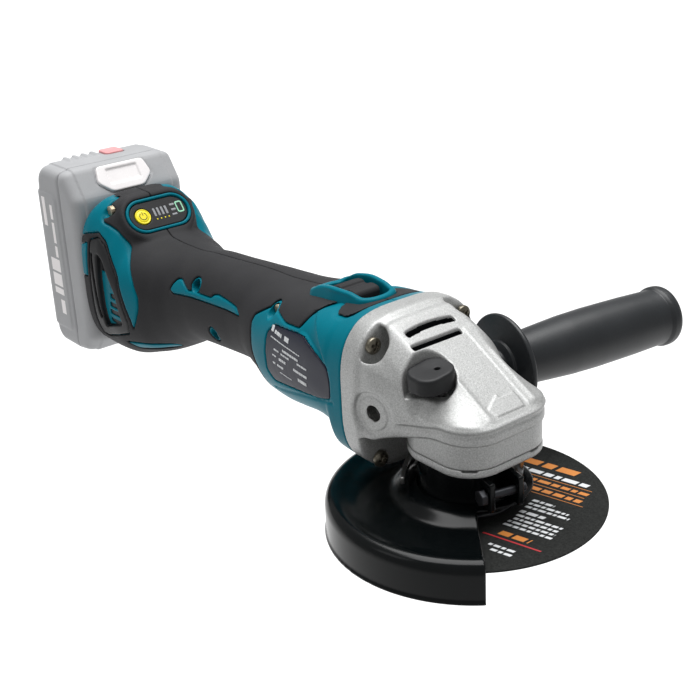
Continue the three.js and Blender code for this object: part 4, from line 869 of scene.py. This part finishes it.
def build_battery():
    """The pack's case, lid, latch, gauge key and the plain bars in place of its print."""
    X, Y, Z, place = grid((-343.5, -40.5, -10.5), (-284.5, 40.5, 108.5), 0.85)
    side = region(rounded(PACK_SIDE, 3), X, Z)
    solid = smax(side, rect(X + 302, Y, 40, 38.4, 10), 7)
    # raised panel on each flank, a groove in front of it and finger notches behind
    flank = rect(X + 326, Z - 47, 12.4, 43, 4)
    solid = solid + np.where(np.abs(Y) > 30, 0.9 * step01(flank, -0.4, 0.8), 0)
    solid = solid + 1.2 * bump(X + 309, 1.1) * step01(np.abs(Y), 28, 33) * step01(Z, 2, 8) * step01(-Z, -104, -98)
    notches = 0.7 * (0.5 + 0.5 * np.cos((Z - 12) * 2 * math.pi / 12)) ** 6
    notches = notches * step01(-X, 338, 341) * step01(np.abs(Y), 20, 28)
    solid = solid + notches * step01(Z, 10, 14) * step01(-Z, -86, -82)
    slope = math.atan2(16, 12)
    dx, dz = X + 296, Z - 98
    a, w = dx * math.cos(slope) - dz * math.sin(slope), dx * math.sin(slope) + dz * math.cos(slope)
    well = region([(-9.2, -16.2), (1.5, -18.8), (9.2, -11.2), (9.2, 11.2), (1.5, 18.8), (-9.2, 16.2)], a, Y)
    solid = smax(solid, -smax(well, -0.9 - w, 0.5), 0.6)
    gauge = rect(X + 326.5, Y - 9.5, 6.6, 6.6, 2.2)
    solid = smax(solid, -smax(gauge, 101.5 - Z, 0.4), 0.5)
    for k in range(4):
        led = smax(rect(X + 327, Y + 1.5 + 6 * k, 5.4, 1.5, 1.4), np.maximum(Z - 107, 100 - Z), 1.2)
        solid = smin(solid, led, 0.9)
    rails = FAR
    for s in (-1, 1):
        rails = np.minimum(rails, smax(rect(X + 289, Y - 22.5 * s, 3.4, 2.4, 0.6), np.abs(Z - 40) - 32, 0.8))
    solid = np.minimum(solid, rails)
    split = X + 309.15
    case = smax(solid, split, 0.7)
    lid = smax(solid, 0.3 - split, 0.7)
    bay = smax(rect(X + 323.5, Y, 14.5, 34.5, 9), np.maximum(-1 - Z, Z - 94), 7)
    case = np.maximum(case, -bay)
    piece("pack_shell", surface(case, place), PACK, "battery", ["battery_case"])
    piece("pack_cover", surface(lid, place), PACK, "battery", ["battery_lid"])
    for flip, name in ((1, "left"), (-1, "right")):
        bars, faces = [], []
        for x, z, wide, tall in PACK_PRINT:
            b = len(bars)
            bars += [(x + i * wide / 2, flip * y, z + j * tall / 2) for y in (38.1, 38.5)
                     for i, j in ((-1, -1), (1, -1), (1, 1), (-1, 1))]
            quads = [[0, 1, 2, 3], [7, 6, 5, 4]] + [[k, k + 4, (k + 1) % 4 + 4, (k + 1) % 4] for k in range(4)]
            faces += [[b + i for i in (quad if flip > 0 else quad[::-1])] for quad in quads]
        piece(f"pack_print_{name}", (np.array(bars), faces), WHITE, "battery", smooth=False)
    X, Y, Z, place = grid((-10, -20, -2.2), (10, 20, 2.4), 0.4)
    plan = [(-8.5, -15.5), (1.5, -18), (8.5, -10.5), (8.5, 10.5), (1.5, 18), (-8.5, 15.5)]
    plan = region(rounded(plan, 2.2), X, Y)
    top = 1.3 - 0.9 * step01(-rect(X + 1, Y, 5.4, 11, 1.5), 0, 1.4)
    plate = smax(plan, np.maximum(Z - top, -1.4 - Z), 0.6)
    c, s = math.cos(slope), math.sin(slope)
    piece("pack_latch", surface(plate, place), WHITE, "latch", ["battery_latch"],
          place=([[c, 0, s], [0, 1, 0], [-s, 0, c]], (-296, 0, 98)))
    X, Y, Z, place = grid((-334, 2, 101), (-319, 17, 108.5), 0.4)
    button = smax(rect(X + 326.5, Y - 9.5, 6, 6, 2), np.maximum(Z - 106.8, 102.4 - Z), 0.8)
    piece("pack_button", surface(button, place), PINK, "gauge_key", ["gauge_button"])


# ---------------------------------------------------------------- printed marks on the data plates
def plate_marks():
    """Short bars in place of the lettering on the data plates, laid on the body's surface."""
    lines = [(-105, 62.6, 2.4, 2.6), (-99, 62, 7, 1.5), (-90.6, 62.2, 4, 2.2), (-92, 58.6, 27, 0.45),
             (-87, 55.6, 14, 1.1), (-99.5, 53.4, 5, 0.7), (-91.5, 53.2, 8, 0.8), (-77, 53.6, 8, 0.9),
             (-101.5, 50, 4, 0.7), (-94.5, 49.8, 6, 1.3), (-78.5, 49.4, 12, 1.2), (-102, 46, 3, 0.8),
             (-96.5, 46, 6, 1.0), (-77.5, 45.4, 7, 1.6), (-92, 42.8, 11, 0.4)]
    rows = []
    for k, (x0, z0, length, height) in enumerate(lines):
        at, word, end = x0 - length / 2, k, x0 + length / 2
        while at < end - 0.4:
            stop = min(at + 0.42 * WORDS[word % len(WORDS)] * max(1, height), end)
            rows.append(((at + stop) / 2, z0, stop - at, height))
            at, word = stop + 0.35, word + 1
    points, faces = [], []
    for x0, z0, length, height in rows:
        n = max(1, int(length / 0.9))
        base = len(points)
        for j in range(2):
            for i in range(n + 1):
                x = x0 - length / 2 + length * i / n
                z = z0 - height / 2 + height * j - 0.055 * (x + 90)
                half, top, low, power = [float(c[0]) for c in table(BODY, np.array([x]))]
                for lift in (-0.5, -0.06):
                    h, tall = half + lift, (top - low) / 2 + lift
                    y = h * (1 - (abs(z - (top + low) / 2) / tall) ** power) ** (1 / power)
                    points.append((x, y, z))
        row = 2 * (n + 1)
        for i in range(n):
            a = base + 2 * i
            b, c, d = a + 2, a + row + 2, a + row
            faces += [[a + 1, d + 1, c + 1, b + 1], [a, b, c, d], [a, a + 1, b + 1, b], [d, c, c + 1, d + 1]]
        for a, d in ((base, base + row), (base + 2 * n, base + row + 2 * n)):
            quad = [a, d, d + 1, a + 1]
            faces.append(quad if a == base else quad[::-1])
    for name, flip in (("left", 1), ("right", -1)):
        p = np.array(points) * (1, flip, 1)
        f = faces if flip > 0 else [q[::-1] for q in faces]
        piece(f"plate_print_{name}", (p, f), PRINT, "tool", smooth=False)


build_body()
build_switch()
build_display()
build_housing()
build_cover()
build_screws()
build_lock()
build_guard()
build_wheel()
build_label()
build_handle()
build_battery()
plate_marks()

# ---------------------------------------------------------------- finishes of the frame's own parts
SHOWN = {
    "steel": STEEL, "dark_steel": DARK_STEEL, "screw": BLACK, "black_plastic": BLACK, "copper": COPPER,
    "board": BOARD, "red_wire": RED, "magnet": MAGNET, "cast": CAST, "teal": TEAL, "soft_grip": RUBBER,
    "guard_black": GUARD, "handle_plastic": HANDLE, "abrasive": DISC, "plate": PLATE, "yellow": YELLOW,
    "pack_grey": PACK, "latch_white": WHITE, "pink": PINK,
}
for entry in frame["record"]["materials"]:
    for node in entry.get("nodes", []):
        held = frame["nodes"][node]
        held.data.materials.clear()
        held.data.materials.append(SHOWN[entry["slot"]])

# ---------------------------------------------------------------- camera, floor and light
AZIMUTH, ELEVATION, ROLL = (math.radians(a) for a in (52.162, 23.033, -2.899))
EYE = (0.3797, -0.3608, 0.3106)
back = Vector((math.sin(AZIMUTH) * math.cos(ELEVATION), -math.cos(AZIMUTH) * math.cos(ELEVATION),
               math.sin(ELEVATION)))
right = Vector((math.cos(AZIMUTH), math.sin(AZIMUTH), 0))
up = right.cross(-back)
camera = bpy.data.objects.new("camera", bpy.data.cameras.new("camera"))
bpy.context.scene.collection.objects.link(camera)
camera.data.sensor_width = 36
camera.data.lens = 66.708
camera.data.clip_end = 20
axes = Matrix((math.cos(ROLL) * right + math.sin(ROLL) * up, -math.sin(ROLL) * right + math.cos(ROLL) * up,
               back)).transposed()
camera.matrix_world = Matrix.Translation(EYE) @ axes.to_4x4()
bpy.context.scene.camera = camera

mesh = bpy.data.meshes.new("floor")
# white ground well below the tool, rising away from the camera, so no shadow reaches the picture
corners = [(x, y, -0.6 + 0.25 * (-0.79 * x + 0.61 * y)) for x, y in ((-8, -8), (8, -8), (8, 8), (-8, 8))]
mesh.from_pydata(corners, [], [(0, 1, 2, 3)])
floor = bpy.data.objects.new("floor", mesh)
bpy.context.scene.collection.objects.link(floor)
mesh.materials.append(finish_of("pale_floor", (0.93, 0.93, 0.93, 1), 0.9, other=(0.95, 0.95, 0.95, 1), mottle=3,
                                grain=200, specular=0.1))

world = bpy.data.worlds.new("studio")
world.use_nodes = True
world.node_tree.nodes["Background"].inputs["Color"].default_value = (1, 1, 1, 1)
world.node_tree.nodes["Background"].inputs["Strength"].default_value = 0.37
bpy.context.scene.world = world


def lamp(name, at, aim, size, power):
    """A square lamp at a point, facing another."""
    data = bpy.data.lights.new(name, "AREA")
    data.size = size
    data.energy = power
    obj = bpy.data.objects.new(name, data)
    bpy.context.scene.collection.objects.link(obj)
    obj.location = at
    obj.rotation_euler = (Vector(at) - Vector(aim)).to_track_quat("Z", "Y").to_euler()


CENTRE = (-0.12, 0, 0.05)
lamp("top_light", (-0.5, 0.5, 3.2), (-0.4, 0.4, 0), 3.0, 165)
lamp("key_light", (-0.5, -1.4, 1.1), CENTRE, 0.7, 1.5)
bpy.context.scene.view_settings.view_transform = "Standard"
